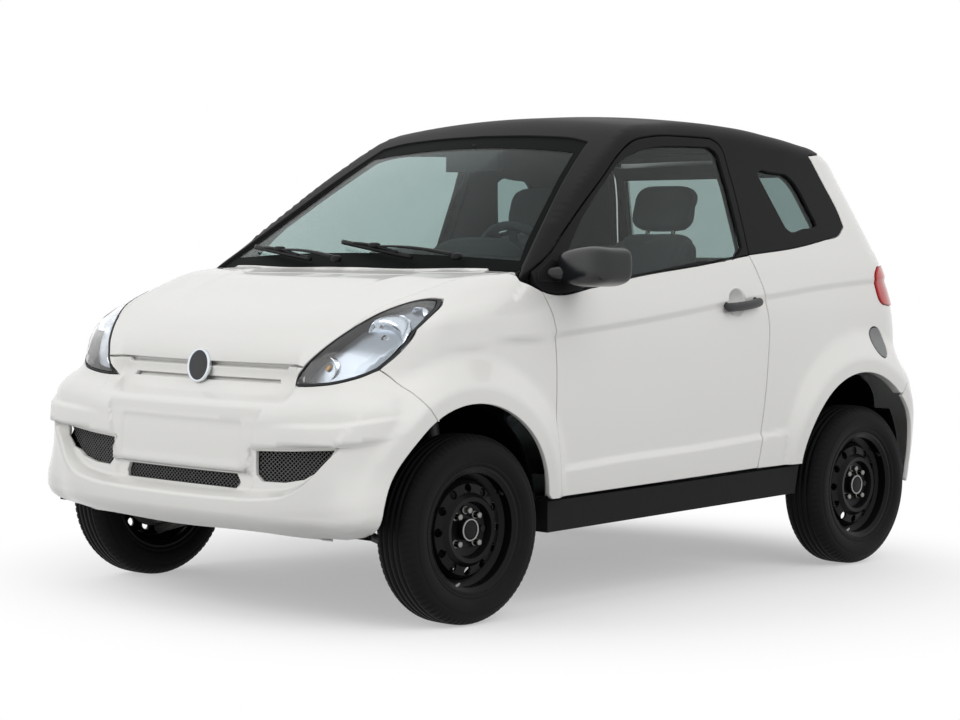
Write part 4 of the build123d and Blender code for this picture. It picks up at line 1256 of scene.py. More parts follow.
# %% Quarters
def upright_view(centre):
    """A view that turns about an upright axis: arc length and height."""

    def rays(uv):
        angle = uv[:, 0] / TURN_ARC
        return rows(centre[0], centre[1], uv[:, 1]), rows(np.cos(angle), np.sin(angle), 0)

    def flat(p):
        return rows(np.arctan2(p[:, 1] - centre[1], p[:, 0] - centre[0]) * TURN_ARC, p[:, 2])

    return View(rays, flat)


corner_view = upright_view((0.25, 0.80))
rear_arch = arc_line(REAR_ARCH, ARCH_RADIUS, 174, 47)
rear_seam = ((1.1476, 0.5605), (1.185, 0.600), (1.225, 0.632), (1.262, 0.646))
window_foot = ((0.392, 1.037), (0.691, 1.066), (0.837, 1.089), (0.935, 1.108), (0.975, 1.135))
window_back = ((0.975, 1.135), (0.968, 1.180), (0.930, 1.275), (0.886, 1.374))
tail_edge = ((0.470, 1.392), (0.478, 1.345), (0.570, 1.030), (0.592, 0.930), (0.594, 0.860), (0.568, 0.646))
TAIL_LAMP = ((1.118, 1.000), (1.090, 0.975), (1.092, 0.935), (1.110, 0.880), (1.135, 0.866))
quarter_top = ((0.886, 1.374), (1.00, 1.385), (1.085, 1.392))
quarter_loop = outline(
    corner_view, (side_view, window_foot), (side_view, window_back), (side_view, quarter_top),
    (rear_view, tail_edge), (rear_view, ((0.568, 0.646), (0.640, 0.646), (0.690, 0.646))),
    (side_view, rear_seam[::-1]), (side_view, rear_arch[::-1]),
    (side_view, ((0.608, 0.358), (0.386, 0.356))), (side_view, door_rear[::-1]))
lamp_hole = outline(
    corner_view, (side_view, TAIL_LAMP),
    (rear_view, ((0.700, 0.866), (0.640, 0.868), (0.606, 0.876), (0.604, 0.940), (0.588, 1.000),
                 (0.640, 1.006))),
    (side_view, ((1.190, 1.008), (1.150, 1.006), (1.118, 1.000))))
print("quarter loop:", np.round(quarter_loop.min(0), 3), np.round(quarter_loop.max(0), 3))
FLAP_AT = (1.060, 0.745)
FLAP_OVAL = (0.047, 0.053)
flap_hole = moved(side_view, circle(FLAP_AT, FLAP_OVAL), corner_view)
along_quarter = np.linspace(0.47, 1.04, 56)
quarter_lines = flare_lines(REAR_ARCH, 168, 30, corner_view)
for shift in UPPER_CREASE_STEPS:
    crease = rows(along_quarter, upper_crease(along_quarter) + shift)
    quarter_lines.append(moved(side_view, crease, corner_view))
for side, holes in (("left", [flap_hole, lamp_hole]), ("right", [lamp_hole])):
    quarter_shape = panel(corner_view, inset(quarter_loop), holes=holes, lines=quarter_lines, depth=0.030,
                          backed=True, hole_depth=0.016)
    if side == "right":
        quarter_shape = mirrored(quarter_shape)
    piece("quarter_skin_" + side, quarter_shape, white_paint, "root", "quarter_" + side, inner=cabin_trim)
    print("quarter", side, len(quarter_shape[0]), "points")

# %% Rear bumper
rear_corner = moved(side_view, np.array([(1.243, 0.258)]), stern_view)[0]
rear_half = np.concatenate([
    outline(stern_view, (rear_view, ((0.0, 0.640), (0.562, 0.640))),
            (rear_view, ((0.562, 0.640), (0.640, 0.640), (0.690, 0.640))), (side_view, rear_seam[::-1]),
            (side_view, arc_line(REAR_ARCH, ARCH_RADIUS, 47, -12))),
    bow(rear_corner, (rear_corner[0] - 0.10, 0.250), (0.55, 0.245), (0.40, 0.262), (0.0, 0.262)),
])
PLATE_REAR = ((-0.268, 0.441), (0.268, 0.441), (0.268, 0.558), (-0.268, 0.558))
rear_shape = panel(stern_view, inset(whole(rear_half)), lines=[closed(PLATE_REAR)])
piece("rear_bumper_skin", rear_shape, white_paint, "root", "rear_bumper")
print("rear bumper:", len(rear_shape[0]), "points")

# %% Tailgate
gate_half = np.concatenate([
    bow((0.0, 0.648), (0.560, 0.648)),
    bow((0.560, 0.648), (0.586, 0.860), (0.584, 0.930), (0.562, 1.030), (0.470, 1.345), (0.462, 1.392)),
    bow((0.462, 1.392), (0.0, 1.400)),
])
REAR_PANE = ((-0.500, 1.030), (0.500, 1.030), (0.430, 1.325), (-0.430, 1.325))
gate_pane = closed(REAR_PANE)
gate_shape = panel(rear_view, inset(whole(gate_half), DOOR_LINE), depth=0.040, holes=[gate_pane], backed=True,
                   hole_depth=0.014)
piece("tailgate_skin", gate_shape, white_paint, "tailgate", "tailgate", inner=cabin_trim)
rear_pane = panel(rear_view.on(glass_form), inset(gate_pane, -0.006), depth=0.004, step=0.03, backed=True)
piece("tailgate_pane", rear_pane, quarter_glass, "tailgate", "tailgate_glass")
print("tailgate:", len(gate_shape[0]), "points")

# %% [markdown]
# ## Black roof and glass
# The roof skin runs on down the pillars beside the windscreen and round the rear side windows, all in
# black, so that the glass band looks like one shape. It is one panel with two holes.

# %% Roof and pillars
header = ((0.0, 1.414), (0.25, 1.4075), (0.40, 1.395), (0.455, 1.384))
screen_side = ((0.455, 1.384), (0.540, 1.220), (0.610, 1.087), (0.656, 1.000))
roof_half = outline(
    roof_view, (front_view, header), (front_view, screen_side), (top_view, ((0.656, -0.640), (0.690, -0.682))),
    (side_view, ((-0.684, 0.960), (-0.640, 0.985))), (side_view, frame_out), (side_view, frame_back),
    (side_view, window_foot), (side_view, window_back), (side_view, quarter_top),
    (rear_view, ((0.470, 1.404), (0.0, 1.404))))
roof_loop = np.concatenate([roof_half, flipped(roof_half, 1)[:-1]])
quarter_pane = np.concatenate([
    bow((0.634, 1.128), (0.594, 1.222), (0.562, 1.300)),
    bow((0.562, 1.300), (0.571, 1.309), (0.640, 1.309), (0.716, 1.306)),
    bow((0.716, 1.306), (0.738, 1.294), (0.814, 1.152)),
    bow((0.814, 1.152), (0.816, 1.140), (0.804, 1.134), (0.735, 1.126), (0.648, 1.118), (0.634, 1.128)),
])
pane_flat = moved(side_view, quarter_pane, roof_view)
roof_shape = panel(roof_view, inset(roof_loop), depth=0.034, holes=[pane_flat, flipped(pane_flat, 1)],
                   backed=True, hole_depth=0.014, step=0.018)
piece("roof_skin", roof_shape, black_paint, "root", "roof", inner=headliner)
side_pane = panel(side_view.on(glass_form), inset(quarter_pane, -0.006), depth=0.004, step=0.03, backed=True)
piece("quarter_panes", merged(side_pane, mirrored(side_pane)), quarter_glass, "root", "quarter_windows")
print("roof:", len(roof_shape[0]), "points")

# %% Windscreen
screen_half = np.concatenate([
    bow((0.0, 0.985), (0.30, 0.984), (0.50, 0.982), (0.655, 0.985)),
    bow((0.655, 0.985), (0.656, 1.000), (0.610, 1.087), (0.540, 1.220), (0.459, 1.376), (0.455, 1.384)),
    bow((0.455, 1.384), (0.40, 1.395), (0.25, 1.4075), (0.0, 1.414)),
])
screen_outline = whole(screen_half)
screen_shape = panel(front_view.on(glass_form), inset(screen_outline, -0.010), depth=0.005, step=0.03,
                     backed=True)
piece("windscreen_pane", screen_shape, screen_glass, "root", "windscreen")
print("windscreen:", len(screen_shape[0]), "points")

# %% [markdown]
# ## Turned, swept and pebble shapes
# Wheels, bulbs and bowls are turned on a lathe; arms and stalks are tubes along a line; cast or moulded
# housings are boxes with very round corners. Three small makers cover them all, and they hand over
# vertices and faces in the same form as a panel.

# %% Shape makers
def skinned(rings, closed=False):
    """Faces over rings of points: rings is an array of rings, each with the same number of points."""
    count, around = rings.shape[:2]
    points = rings.reshape(-1, 3)
    faces = []
    for i in range(count if closed else count - 1):
        for j in range(around):
            a, b = i * around, (i + 1) % count * around
            k = (j + 1) % around
            faces.append((a + j, a + k, b + k, b + j))
    if not closed:
        faces.append(tuple(range(around))[::-1])
        faces.append(tuple((count - 1) * around + j for j in range(around)))
    return points, faces, None, [False] * len(faces)


def turned(profile, centre, axis, count=48, closed=False):
    """A profile of (radius, distance along the axis) turned about an axis through a centre."""
    axis = Vector(axis).normalized()
    side = axis.orthogonal().normalized()
    angle = np.linspace(0, 2 * np.pi, count, endpoint=False)
    spokes = np.outer(np.cos(angle), side) + np.outer(np.sin(angle), axis.cross(side))
    profile = np.array(profile, float)
    rings = np.array(centre) + profile[:, 1, None, None] * np.array(axis) + profile[:, 0, None, None] * spokes
    return skinned(rings, closed)


def tube(path, radius, sides=12, flat=1.0):
    """A round bar along a line of points; radius may change along it, and flat squeezes it upright."""
    path = np.asarray(path, float)
    radius = np.broadcast_to(radius, len(path))
    ahead = np.gradient(path, axis=0)
    ahead /= np.linalg.norm(ahead, axis=1, keepdims=True)
    side = np.cross(ahead, (0.0, 0.0, 1.0))
    side /= np.maximum(np.linalg.norm(side, axis=1, keepdims=True), 1e-9)
    rise = np.cross(side, ahead)
    angle = np.linspace(0, 2 * np.pi, sides, endpoint=False)[:, None]
    rings = [p + r * (np.cos(angle) * s + np.sin(angle) * u * flat)
             for p, r, s, u in zip(path, radius, side, rise)]
    return skinned(np.array(rings))


def pebble(centre, half, power=3.0, turn=(0, 0, 0), across=36, up=18):
    """A box with very round corners: half sizes, and how boxy it is."""
    high = np.linspace(-1.54, 1.54, up)[:, None]
    round_it = np.linspace(0, 2 * np.pi, across, endpoint=False)[None, :]

    def boxy(value):
        return np.sign(value) * np.abs(value) ** (2 / power)

    shape = rows(boxy(np.cos(high)) * boxy(np.cos(round_it)), boxy(np.cos(high)) * boxy(np.sin(round_it)),
                 boxy(np.sin(high)) + 0 * round_it) * np.array(half)
    spun = Matrix.Rotation(math.radians(turn[2]), 3, "Z") @ Matrix.Rotation(math.radians(turn[1]), 3, "Y")
    spun = np.array(spun @ Matrix.Rotation(math.radians(turn[0]), 3, "X"))
    return skinned(shape @ spun.T + np.array(centre))


print("a turned ring has", len(turned(((1, 0), (1, 1)), (0, 0, 0), (0, 0, 1))[1]), "faces")

# %% [markdown]
# ## Headlamps
# A lamp is a clear cover over a tray of bright plastic. A thin dark seal runs round the cover. Behind it
# stand a large bowl for the main beam and a small bowl with an amber bulb for the indicator.
# Each bowl is turned, then pushed back wherever it would come through the cover.

# %% Lamp trays and covers
lamp_loop = np.concatenate([bow(*lamp_foot), bow(*lamp_out), bow(*lamp_high), bow(*lamp_in), bow(*lamp_low)])
lamp_edge = turned_round(lamp_loop)
SEAL = 0.0075
TRAY_BACK = 0.046
seal_shape = panel(front_view, shrunk(lamp_edge, 0.0015), holes=[shrunk(lamp_edge, SEAL)], hole_depth=0.052,
                   depth=0.012, step=0.006, roll=0.0015)
sides("lamp_seal_{}", seal_shape, lamp_rubber, "root", ["headlamps"])
cover_shape = panel(front_view.on(sunk(0.0015)), shrunk(lamp_edge, SEAL - 0.001), depth=0.0025, step=0.010,
                    backed=True, roll=0.0008)
sides("lamp_cover_{}", cover_shape, lens_clear, "root", ["headlamps"])
tray_shape = panel(front_view.on(sunk(0.003)), shrunk(lamp_edge, SEAL - 0.003), depth=0.004, step=0.008)
tray_shape = (tray_shape[0] + (0, TRAY_BACK, 0), *tray_shape[1:])
sides("lamp_tray_{}", tray_shape, lamp_silver, "root", ["headlamps"])
print("lamp tray:", len(tray_shape[0]), "points")

# %% Lamp bowls and bulbs
BOWL_DEPTH = 0.034
# name, centre, rim radius, finish of the bulb, bulb radius
BOWLS = (
    ("main", (0.618, -1.136, 0.793), 0.066, "glass", 0.0095),
    ("turn", (0.484, -1.222, 0.713), 0.031, "amber", 0.0150),
    ("side", (0.640, -1.035, 0.856), 0.026, "glass", 0.0060),
)


def behind_cover(shape, clear_by=0.006):
    """A shape with each point pushed back until it is clear of the lamp's cover."""
    points = shape[0].copy()
    skin_at = front_view.on(sunk(clear_by)).lay(points[:, [0, 2]])[0]
    points[:, 1] = np.maximum(points[:, 1], skin_at[:, 1])
    return points, shape[1], None, shape[3]


for name, centre, radius, bulb, bulb_radius in BOWLS:
    steps = np.linspace(1.0, 0.06, 9)
    dish = [(radius * s, -BOWL_DEPTH * (1 - s * s)) for s in steps]
    cup = [(radius * 1.05, -BOWL_DEPTH - 0.010), (radius * 1.07, 0.001), (radius, 0.0015)] + dish
    bowl = behind_cover(turned(cup, centre, (0, -1, 0), 26))
    sides("lamp_bowl_" + name + "_{}", bowl, lamp_chrome, "root", ["headlamps"])
    tip = tuple(np.array(centre) + (0, BOWL_DEPTH * 0.45, 0))
    glow = behind_cover(pebble(tip, (bulb_radius, bulb_radius * 1.3, bulb_radius), 2.0, across=20, up=12))
    sides("lamp_bulb_" + name + "_{}", glow, amber if bulb == "amber" else satin_silver, "root", ["headlamps"])
main_at = np.array(BOWLS[0][1])
shield = tube([main_at + (-0.060, 0.006, 0.002), main_at + (-0.010, 0.014, 0.0)], 0.012, 16)
collar = turned(((0.0125, -0.004), (0.0145, -0.003), (0.0145, 0.003), (0.0125, 0.004)),
                main_at + (-0.012, 0.013, 0), (1, 0, 0), 20, closed=True)
sides("lamp_shield_{}", behind_cover(shield), satin_silver, "root", ["headlamps"])
sides("lamp_collar_{}", behind_cover(collar), lamp_rubber, "root", ["headlamps"])
rim_ring = turned(((0.0315, -0.002), (0.0345, -0.001), (0.0345, 0.002), (0.0315, 0.003)), BOWLS[1][1],
                  (0, -1, 0), 32, closed=True)
sides("lamp_rim_{}", behind_cover(rim_ring), chrome, "root", ["headlamps"])
print("bowls:", len(BOWLS))

# %% [markdown]
# ## Bonnet badge, tail lamps and fuel flap
# The round plate on the nose is left bare, as a plain dark disc with a bright rim. The tail lamp is a
# red moulding with a clear window over a bright tray. It stands a few millimetres proud of the body, so
# that its edge shows. The flap is a grey plastic disc in a recess, thin enough to swing on its front edge.

# %% Badge
BADGE_AT = (0.0, -1.284, 0.707)
BADGE_RADIUS = 0.049
BADGE_FACES = (0, -1, 0.14)
DISC_RADIUS = BADGE_RADIUS - 0.0065
# distance inside the badge's edge, height over its middle
RIM_SECTION = ((0.007, 0.003), (0.004, 0.0075), (0.001, 0.006), (0.0, 0.001), (0.0, -0.006), (0.007, -0.006))
badge_rim = turned([(BADGE_RADIUS - inside, up) for inside, up in RIM_SECTION], BADGE_AT, BADGE_FACES, 72,
                   closed=True)
piece("badge_rim", badge_rim, chrome, "bonnet", "bonnet")
badge_face = [(s * DISC_RADIUS, 0.0035 - 0.0015 * s * s) for s in np.linspace(1, 0.02, 10)]
badge_disc = turned([(DISC_RADIUS, -0.006)] + badge_face, BADGE_AT, BADGE_FACES, 72)
piece("badge_disc", badge_disc, handle_black, "bonnet", "bonnet")
print("badge:", round(BADGE_RADIUS * 2000), "mm across")

# %% Tail lamps
tail_edge_loop = turned_round(lamp_hole)
WINDOW_AT = (0.672, 1.190, 0.945)
clear_window = circle(corner_view.flat(np.array([WINDOW_AT]))[0], (0.022, 0.026), 28)
tail_cover = panel(corner_view.on(sunk(-0.006)), shrunk(tail_edge_loop, 0.0016), depth=0.012, step=0.010,
                   holes=[clear_window], hole_depth=0.004, roll=0.0018)
sides("tail_cover_{}", tail_cover, lamp_red, "root", ["tail_lamps"])
tail_window = panel(corner_view.on(sunk(-0.005)), shrunk(turned_round(clear_window), 0.0006), depth=0.004,
                    step=0.010, roll=0.001)
sides("tail_window_{}", tail_window, lens_clear, "root", ["tail_lamps"])
tail_tray = panel(corner_view.on(sunk(0.022)), shrunk(tail_edge_loop, 0.002), depth=0.006, step=0.014)
sides("tail_tray_{}", tail_tray, lamp_silver, "root", ["tail_lamps"])
print("tail lamp:", len(tail_cover[0]), "points")

# %% Fuel flap
def flap_line(out):
    """The edge of the flap's hole, moved outwards."""
    return moved(side_view, circle(FLAP_AT, (FLAP_OVAL[0] + out, FLAP_OVAL[1] + out)), corner_view)


flap_shape = panel(corner_view.on(sunk(-0.0005)), flap_line(-0.004), depth=0.005, step=0.012, roll=0.002,
                   backed=True)
piece("flap_skin", flap_shape, flap_grey, "fuel_flap", "fuel_flap")
# The well is painted shade: a near-black sheet in the recess, seen through the gap round the flap.
flap_well = panel(corner_view.on(sunk(0.018)), flap_line(0.003), depth=0.004, step=0.02)
piece("flap_well", flap_well, black_plastic_and_painted_shade, "root", "quarter_left")
print("flap:", len(flap_shape[0]), "points")

# %% [markdown]
# ## Door handles and the mirror
# A pull handle spans a round dish that leaves room for fingers. The mirror hangs on a black triangle at
# the front of the window; its housing is one big pebble, cut flat at the back where the glass sits.

# %% Handles
HANDLE_ENDS = ((0.214, 0.8785), (0.398, 0.8960))
dish_at = side_view.lay(np.array([DISH_AT]))[0][0]
dish_profile = [(DISH_RADIUS * s, 0.004 - 0.018 * (1 - s ** 3)) for s in np.linspace(1, 0.03, 10)]
dish_shape = turned([(DISH_RADIUS + 0.004, -0.004), (DISH_RADIUS + 0.004, -0.001)] + dish_profile,
                    dish_at - (0.006, 0, 0), (1, 0, 0), 40)
sides("handle_dish_{}", dish_shape, white_paint, "door_{}", ["door_{}"])
grip_flat = np.stack([np.linspace(a, b, 24) for a, b in zip(*HANDLE_ENDS)], -1)
grip_on, grip_out = side_view.lay(grip_flat)
stand_off = 0.010 + 0.016 * np.sin(np.linspace(0.15, np.pi - 0.15, 24)) ** 0.5
grip_size = 0.0125 * np.minimum(1, 0.55 + 2.4 * np.sin(np.linspace(0.02, np.pi - 0.02, 24)))
grip = tube(grip_on + grip_out * stand_off[:, None], grip_size, 16, flat=1.15)
sides("handle_grip_{}", grip, handle_black, "door_{}", ["handle_{}"])
posts = plain(*[tube([grip_on[k] - grip_out[k] * 0.004, grip_on[k] + grip_out[k] * 0.020], 0.0095, 14)
                 for k in (2, 21)])
sides("handle_posts_{}", posts, handle_black, "door_{}", ["handle_{}"])
print("handle grip:", len(grip[0]), "points")

# %% Mirror
MIRROR_AT = np.array((0.842, -0.520, 1.000))
MIRROR_HALF = (0.126, 0.070, 0.059)
MIRROR_TURN = -14


def mirror_housing(shape, cut):
    """A housing that narrows towards the car, is flat at the back and slopes down at its outer end."""
    points = shape[0] - MIRROR_AT
    spin = math.radians(MIRROR_TURN)
    along = points[:, 0] * math.cos(spin) + points[:, 1] * math.sin(spin)
    behind = -points[:, 0] * math.sin(spin) + points[:, 1] * math.cos(spin)
    out = along / MIRROR_HALF[0]
    points[:, 2] *= 1 - 0.16 * ramp(-out, -0.2, 1.0) - 0.10 * ramp(out, 0.3, 1.0)
    points[:, 2] += 0.004 * out
    excess = np.maximum(behind - cut, 0)
    points[:, 0] += excess * math.sin(spin)
    points[:, 1] -= excess * math.cos(spin)
    return points + MIRROR_AT, shape[1], None, shape[3]


housing = pebble(MIRROR_AT, MIRROR_HALF, 4.2, (0, 0, MIRROR_TURN), 64, 36)
piece("mirror_shell", mirror_housing(housing, 0.040), mirror_black, "door_left", "mirror_left")
GLASS_BACK = 0.0405
glass_at = MIRROR_AT + (GLASS_BACK * math.sin(math.radians(-MIRROR_TURN)), GLASS_BACK, 0)
mirror_glass = pebble(glass_at, (0.086, 0.0025, 0.044), 3.6, (0, 0, MIRROR_TURN), 40, 16)
piece("mirror_glass", mirror_glass, mirror_face, "door_left", "mirror_left")
foot_path = bow((0.672, -0.566, 0.972), (0.710, -0.560, 0.976), (0.765, -0.545, 0.982), (0.800, -0.536, 0.985))
piece("mirror_foot", tube(foot_path, np.linspace(0.030, 0.022, len(foot_path)), 18, flat=0.8), mirror_black,
      "door_left", "mirror_left")
sail_loop = closed(((-0.628, 0.955), (-0.500, 0.956), (-0.497, 1.010), (-0.556, 1.026), (-0.622, 0.985)))
sail_shape = panel(side_view.on(sunk(-0.004)), sail_loop, depth=0.010, step=0.02, roll=0.004)
sides("mirror_sail_{}", sail_shape, black_trim, "door_{}", ["door_{}"])
print("mirror housing:", len(housing[0]), "points")

# %% [markdown]
# ## Wheels
# A tyre is turned from its section, with four grooves round the tread, and every fourth step round the
# shoulder is cut back to leave the small ribs that grip at the edge. The steel wheel keeps its solid; it
# gets plated bolts, a steel ring and a black cap at the hub, a valve, and a balance weight on the rim.

# %% Tyres and wheel fittings
TYRE_STEPS = 320
RIB_EVERY = 4
RIB_DEPTH = 0.0038
# radius, distance from the tyre's middle: from the bead over the shoulder to the middle of the tread
TYRE_HALF = (
    (0.1660, 0.050), (0.1785, 0.0615), (0.1830, 0.0675), (0.1880, 0.0690), (0.1900, 0.0672), (0.1925, 0.0690),
    (0.2000, 0.0722), (0.2080, 0.0742), (0.2160, 0.0750), (0.2240, 0.0748), (0.2300, 0.0740), (0.2315, 0.0724),
    (0.2340, 0.0730), (0.2410, 0.0706), (0.2480, 0.0668), (0.2540, 0.0620), (0.2590, 0.0560), (0.2622, 0.0500),
    (0.2640, 0.0455), (0.2652, 0.0400), (0.2658, 0.0345), (0.2600, 0.0335), (0.2600, 0.0280), (0.2661, 0.0270),
    (0.2664, 0.0140), (0.2605, 0.0130), (0.2605, 0.0075), (0.2665, 0.0065),
)
section = list(TYRE_HALF) + [(r, -x) for r, x in TYRE_HALF[::-1]]
WHEEL_X = 0.692
AXLE_Z = 0.2665
BOLT_CIRCLE = 0.054
OUTWARDS = (1, 0, 0)
# sections: radius, distance out from the wheel's middle
WASHER = ((0.0125, 0.024), (0.0125, 0.029), (0.0095, 0.0295))
BOLT_HEAD = ((0.0095, 0.029), (0.0095, 0.0465), (0.0070, 0.0490), (0.0010, 0.0492))
HUB_RING = ((0.0320, 0.044), (0.0320, 0.0495), (0.0290, 0.0510), (0.0268, 0.0490), (0.0268, 0.044))
HUB_CAP = ((0.0266, 0.044), (0.0262, 0.0478), (0.0200, 0.0484), (0.0010, 0.0488))
WEIGHT_RADIUS, WEIGHT_ANGLE = 0.160, -1.95
# name, side, axle
CORNERS = (("front_left", 1, -0.920), ("front_right", -1, -0.920),
           ("rear_left", 1, 0.950), ("rear_right", -1, 0.950))


def wheel_pieces(axle):
    """Tyre, bolts and hub trim of a left wheel: name, shape, finish, what it stands for."""
    middle = np.array((WHEEL_X, axle, AXLE_Z))
    tyre = turned(section, middle, OUTWARDS, TYRE_STEPS, closed=True)
    points = tyre[0].reshape(len(section), TYRE_STEPS, 3)
    for i, (radius, across) in enumerate(section):
        if 0.0400 < abs(across) < 0.0630 and radius > 0.250:
            points[i, ::RIB_EVERY, 1:] += (middle[1:] - points[i, ::RIB_EVERY, 1:]) * RIB_DEPTH / radius
    bolts = []
    for turn in (45, 90, 135, 225, 315):
        angle = math.radians(turn)
        place = middle + (0, BOLT_CIRCLE * math.cos(angle), BOLT_CIRCLE * math.sin(angle))
        bolts += [turned(WASHER, place, OUTWARDS, 20), turned(BOLT_HEAD, place, OUTWARDS, 6)]
    ring = turned(HUB_RING, middle, OUTWARDS, 48, closed=True)
    cap = turned(HUB_CAP, middle, OUTWARDS, 40)
    weight_at = middle + (0.052, WEIGHT_RADIUS * math.cos(WEIGHT_ANGLE), WEIGHT_RADIUS * math.sin(WEIGHT_ANGLE))
    weight = pebble(weight_at, (0.006, 0.015, 0.005), 2.6, (22, 0, 0), 20, 10)
    valve = tube([middle + (0.040, 0.118, 0.098), middle + (0.062, 0.112, 0.093)], (0.006, 0.0042), 12)
    return (
        ("tyre_tread_", (points.reshape(-1, 3), *tyre[1:]), rubber, "tyre_"),
        ("wheel_bolts_", plain(*bolts), zinc, "rim_"),
        ("hub_ring_", ring, hub_metal, "rim_"),
        ("hub_cap_", cap, wheel_paint, "rim_"),
        ("wheel_weight_", weight, zinc, "rim_"),
        ("wheel_valve_", valve, rubber, "rim_"),
    )


for corner_name, side, axle in CORNERS:
    for label, shape, coat, stands in wheel_pieces(axle):
        piece(label + corner_name, shape if side > 0 else mirrored(shape), coat, "wheel_" + corner_name,
              stands + corner_name if stands == "tyre_" else ())
print("tyre:", len(section) * TYRE_STEPS, "points")

# %% [markdown]
# ## Windscreen border, trough and wipers
# A windscreen is bonded to the body, and a black printed band round its edge hides the glue. Below it a
# black plastic trough drains the water and carries the wiper spindles. Each wiper is a sprung arm with a
# long blade that follows the glass.

# %% Border and trough
BORDER_WIDTH = 0.024
PRINT_THICK = 0.0012
border_in = shrunk(turned_round(screen_outline), BORDER_WIDTH)
border_in[:, 1] = np.maximum(border_in[:, 1], 1.034 - 0.05 * border_in[:, 0] ** 2)
border_in[:, 1] = np.minimum(border_in[:, 1], 1.372 - border_in[:, 0] ** 2 / ROOF_CROWN)


def over_glass(p):
    """The glass moved out by the thickness of the print."""
    return glass_form(p) - PRINT_THICK


border_shape = panel(front_view.on(over_glass), inset(screen_outline, 0.0006), depth=0.0016, step=0.016,
                     holes=[border_in], hole_depth=0.0016, roll=0.0006)
piece("screen_border", border_shape, border_black, "root", "windscreen")
trough_loop = closed(((-0.640, -0.655), (-0.500, -0.800), (0.500, -0.800), (0.640, -0.655), (0.300, -0.690),
                      (-0.300, -0.690)))
trough = panel(top_view.on(sunk(0.012)), trough_loop, depth=0.006, step=0.03)
piece("trough", trough, black_plastic_and_painted_shade, "root", "cowl")
print("border:", len(border_shape[0]), "points")

# %% Wipers
# spindle x and z, tip of the blade x and z, near end of the blade x and z
WIPERS = (
    ((0.430, 1.006), (-0.110, 1.056), (0.250, 1.012)),
    ((-0.040, 0.996), (-0.560, 1.040), (-0.180, 1.003)),
)


def off_glass(flat, by):
    """Points in front view, laid on the glass and lifted off it."""
    on, out = front_view.on(glass_form).lay(np.asarray(flat, float))
    return on + out * np.reshape(by, (-1, 1))


for index, (spindle, tip, heel) in enumerate(WIPERS):
    blade_flat = np.linspace(heel, tip, 24)
    clip = blade_flat[11]
    arm_flat = np.linspace(spindle, clip, 14)
    arm_lift = 0.026 + 0.012 * np.sin(np.linspace(0.2, np.pi, 14))
    arm = tube(off_glass(arm_flat, arm_lift), np.linspace(0.0105, 0.0055, 14), 10, flat=0.6)
    blade = tube(off_glass(blade_flat, 0.014), 0.0052, 8, flat=1.5)
    bridge = tube(off_glass(blade_flat[4:20], 0.020 + 0.008 * np.sin(np.linspace(0, np.pi, 16))), 0.0042, 8)
    knob = pebble(off_glass([spindle], 0.024)[0], (0.017, 0.015, 0.011), 2.6, across=24, up=12)
    clip_block = pebble(off_glass([clip], 0.030)[0], (0.022, 0.010, 0.008), 3.0, across=20, up=10)
    piece("wiper_" + str(index + 1), plain(arm, blade, bridge, knob, clip_block),
          wiper_black, "root", "wipers")
print("wipers:", len(WIPERS))

# %% [markdown]
# ## Seats
# A seat is foam under a stretched cover. Each pad starts as a smaller box with round corners and is
# remeshed evenly; cloth with a little pressure inside then swells it, so the sides crown between the
# corners as foam does. Sewn channels are pressed in afterwards, because the remesh would erase them.

# %% Padded shapes
SEAT_X = 0.285
BACK_FOOT = (0.252, 0.430)
BACK_LEAN = math.radians(16)
VOXEL = 0.013
SWELL_FRAMES = 15
SWELL_CAP = 0.024


def baked(thing):
    """Points and faces of an object with its modifiers worked in."""
    seen_now = thing.evaluated_get(bpy.context.evaluated_depsgraph_get())
    made = bpy.data.meshes.new_from_object(seen_now)
    old = thing.data
    thing.modifiers.clear()
    thing.data = made
    bpy.data.meshes.remove(old)
    spots = np.empty(len(made.vertices) * 3)
    made.vertices.foreach_get("co", spots)
    return spots.reshape(-1, 3)


def swelled(shape, groove):
    """A box of foam blown up under its cover, with its sewn channels pressed in."""
    mesh = bpy.data.meshes.new("foam")
    mesh.from_pydata(shape[0].tolist(), [], shape[1])
    foam = bpy.data.objects.new("foam", mesh)
    bpy.context.scene.collection.objects.link(foam)
    even = foam.modifiers.new("even", "REMESH")
    even.mode = "VOXEL"
    even.voxel_size = VOXEL
    start = baked(foam)
    cover = foam.modifiers.new("cover", "CLOTH")
    cover.settings.use_pressure = True
    cover.settings.uniform_pressure_force = 4.0
    cover.settings.effector_weights.gravity = 0.0
    for tick in range(1, SWELL_FRAMES + 1):
        bpy.context.scene.frame_set(tick)
    moves = baked(foam) - start
    size = np.linalg.norm(moves, axis=1, keepdims=True)
    spots = start + moves * np.minimum(1, SWELL_CAP / np.maximum(size, 1e-9))
    foam.data.vertices.foreach_set("co", spots.ravel())
    bpy.context.scene.frame_set(1)
    smooth = foam.modifiers.new("smooth", "SUBSURF")
    smooth.levels = 1
    spots = baked(foam)
    spots = groove(spots)
    faces = [tuple(face.vertices) for face in foam.data.polygons]
    last = foam.data
    bpy.data.objects.remove(foam)
    bpy.data.meshes.remove(last)
    return spots, faces, None, [False] * len(faces)


def pressed(spots, away, depth, width=0.010):
    """Points pressed towards the pad's middle where a seam runs; away is the distance to the seam."""
    middle = spots.mean(0)
    inward = middle - spots
    inward /= np.linalg.norm(inward, axis=1, keepdims=True)
    return spots + inward * (depth * np.exp(-(away / width) ** 2))[:, None]


def seat_groove(spots):
    """Two channels along the cushion or back, and one across."""
    local = spots - spots.mean(0)
    long_way = 1 if np.ptp(local[:, 1]) > np.ptp(local[:, 2]) else 2
    spots = pressed(spots, np.abs(np.abs(local[:, 0]) - 0.135), 0.010)
    across = np.where(np.abs(local[:, 0]) < 0.13, np.abs(local[:, long_way] - 0.06), 1.0)
    return pressed(spots, across, 0.007)


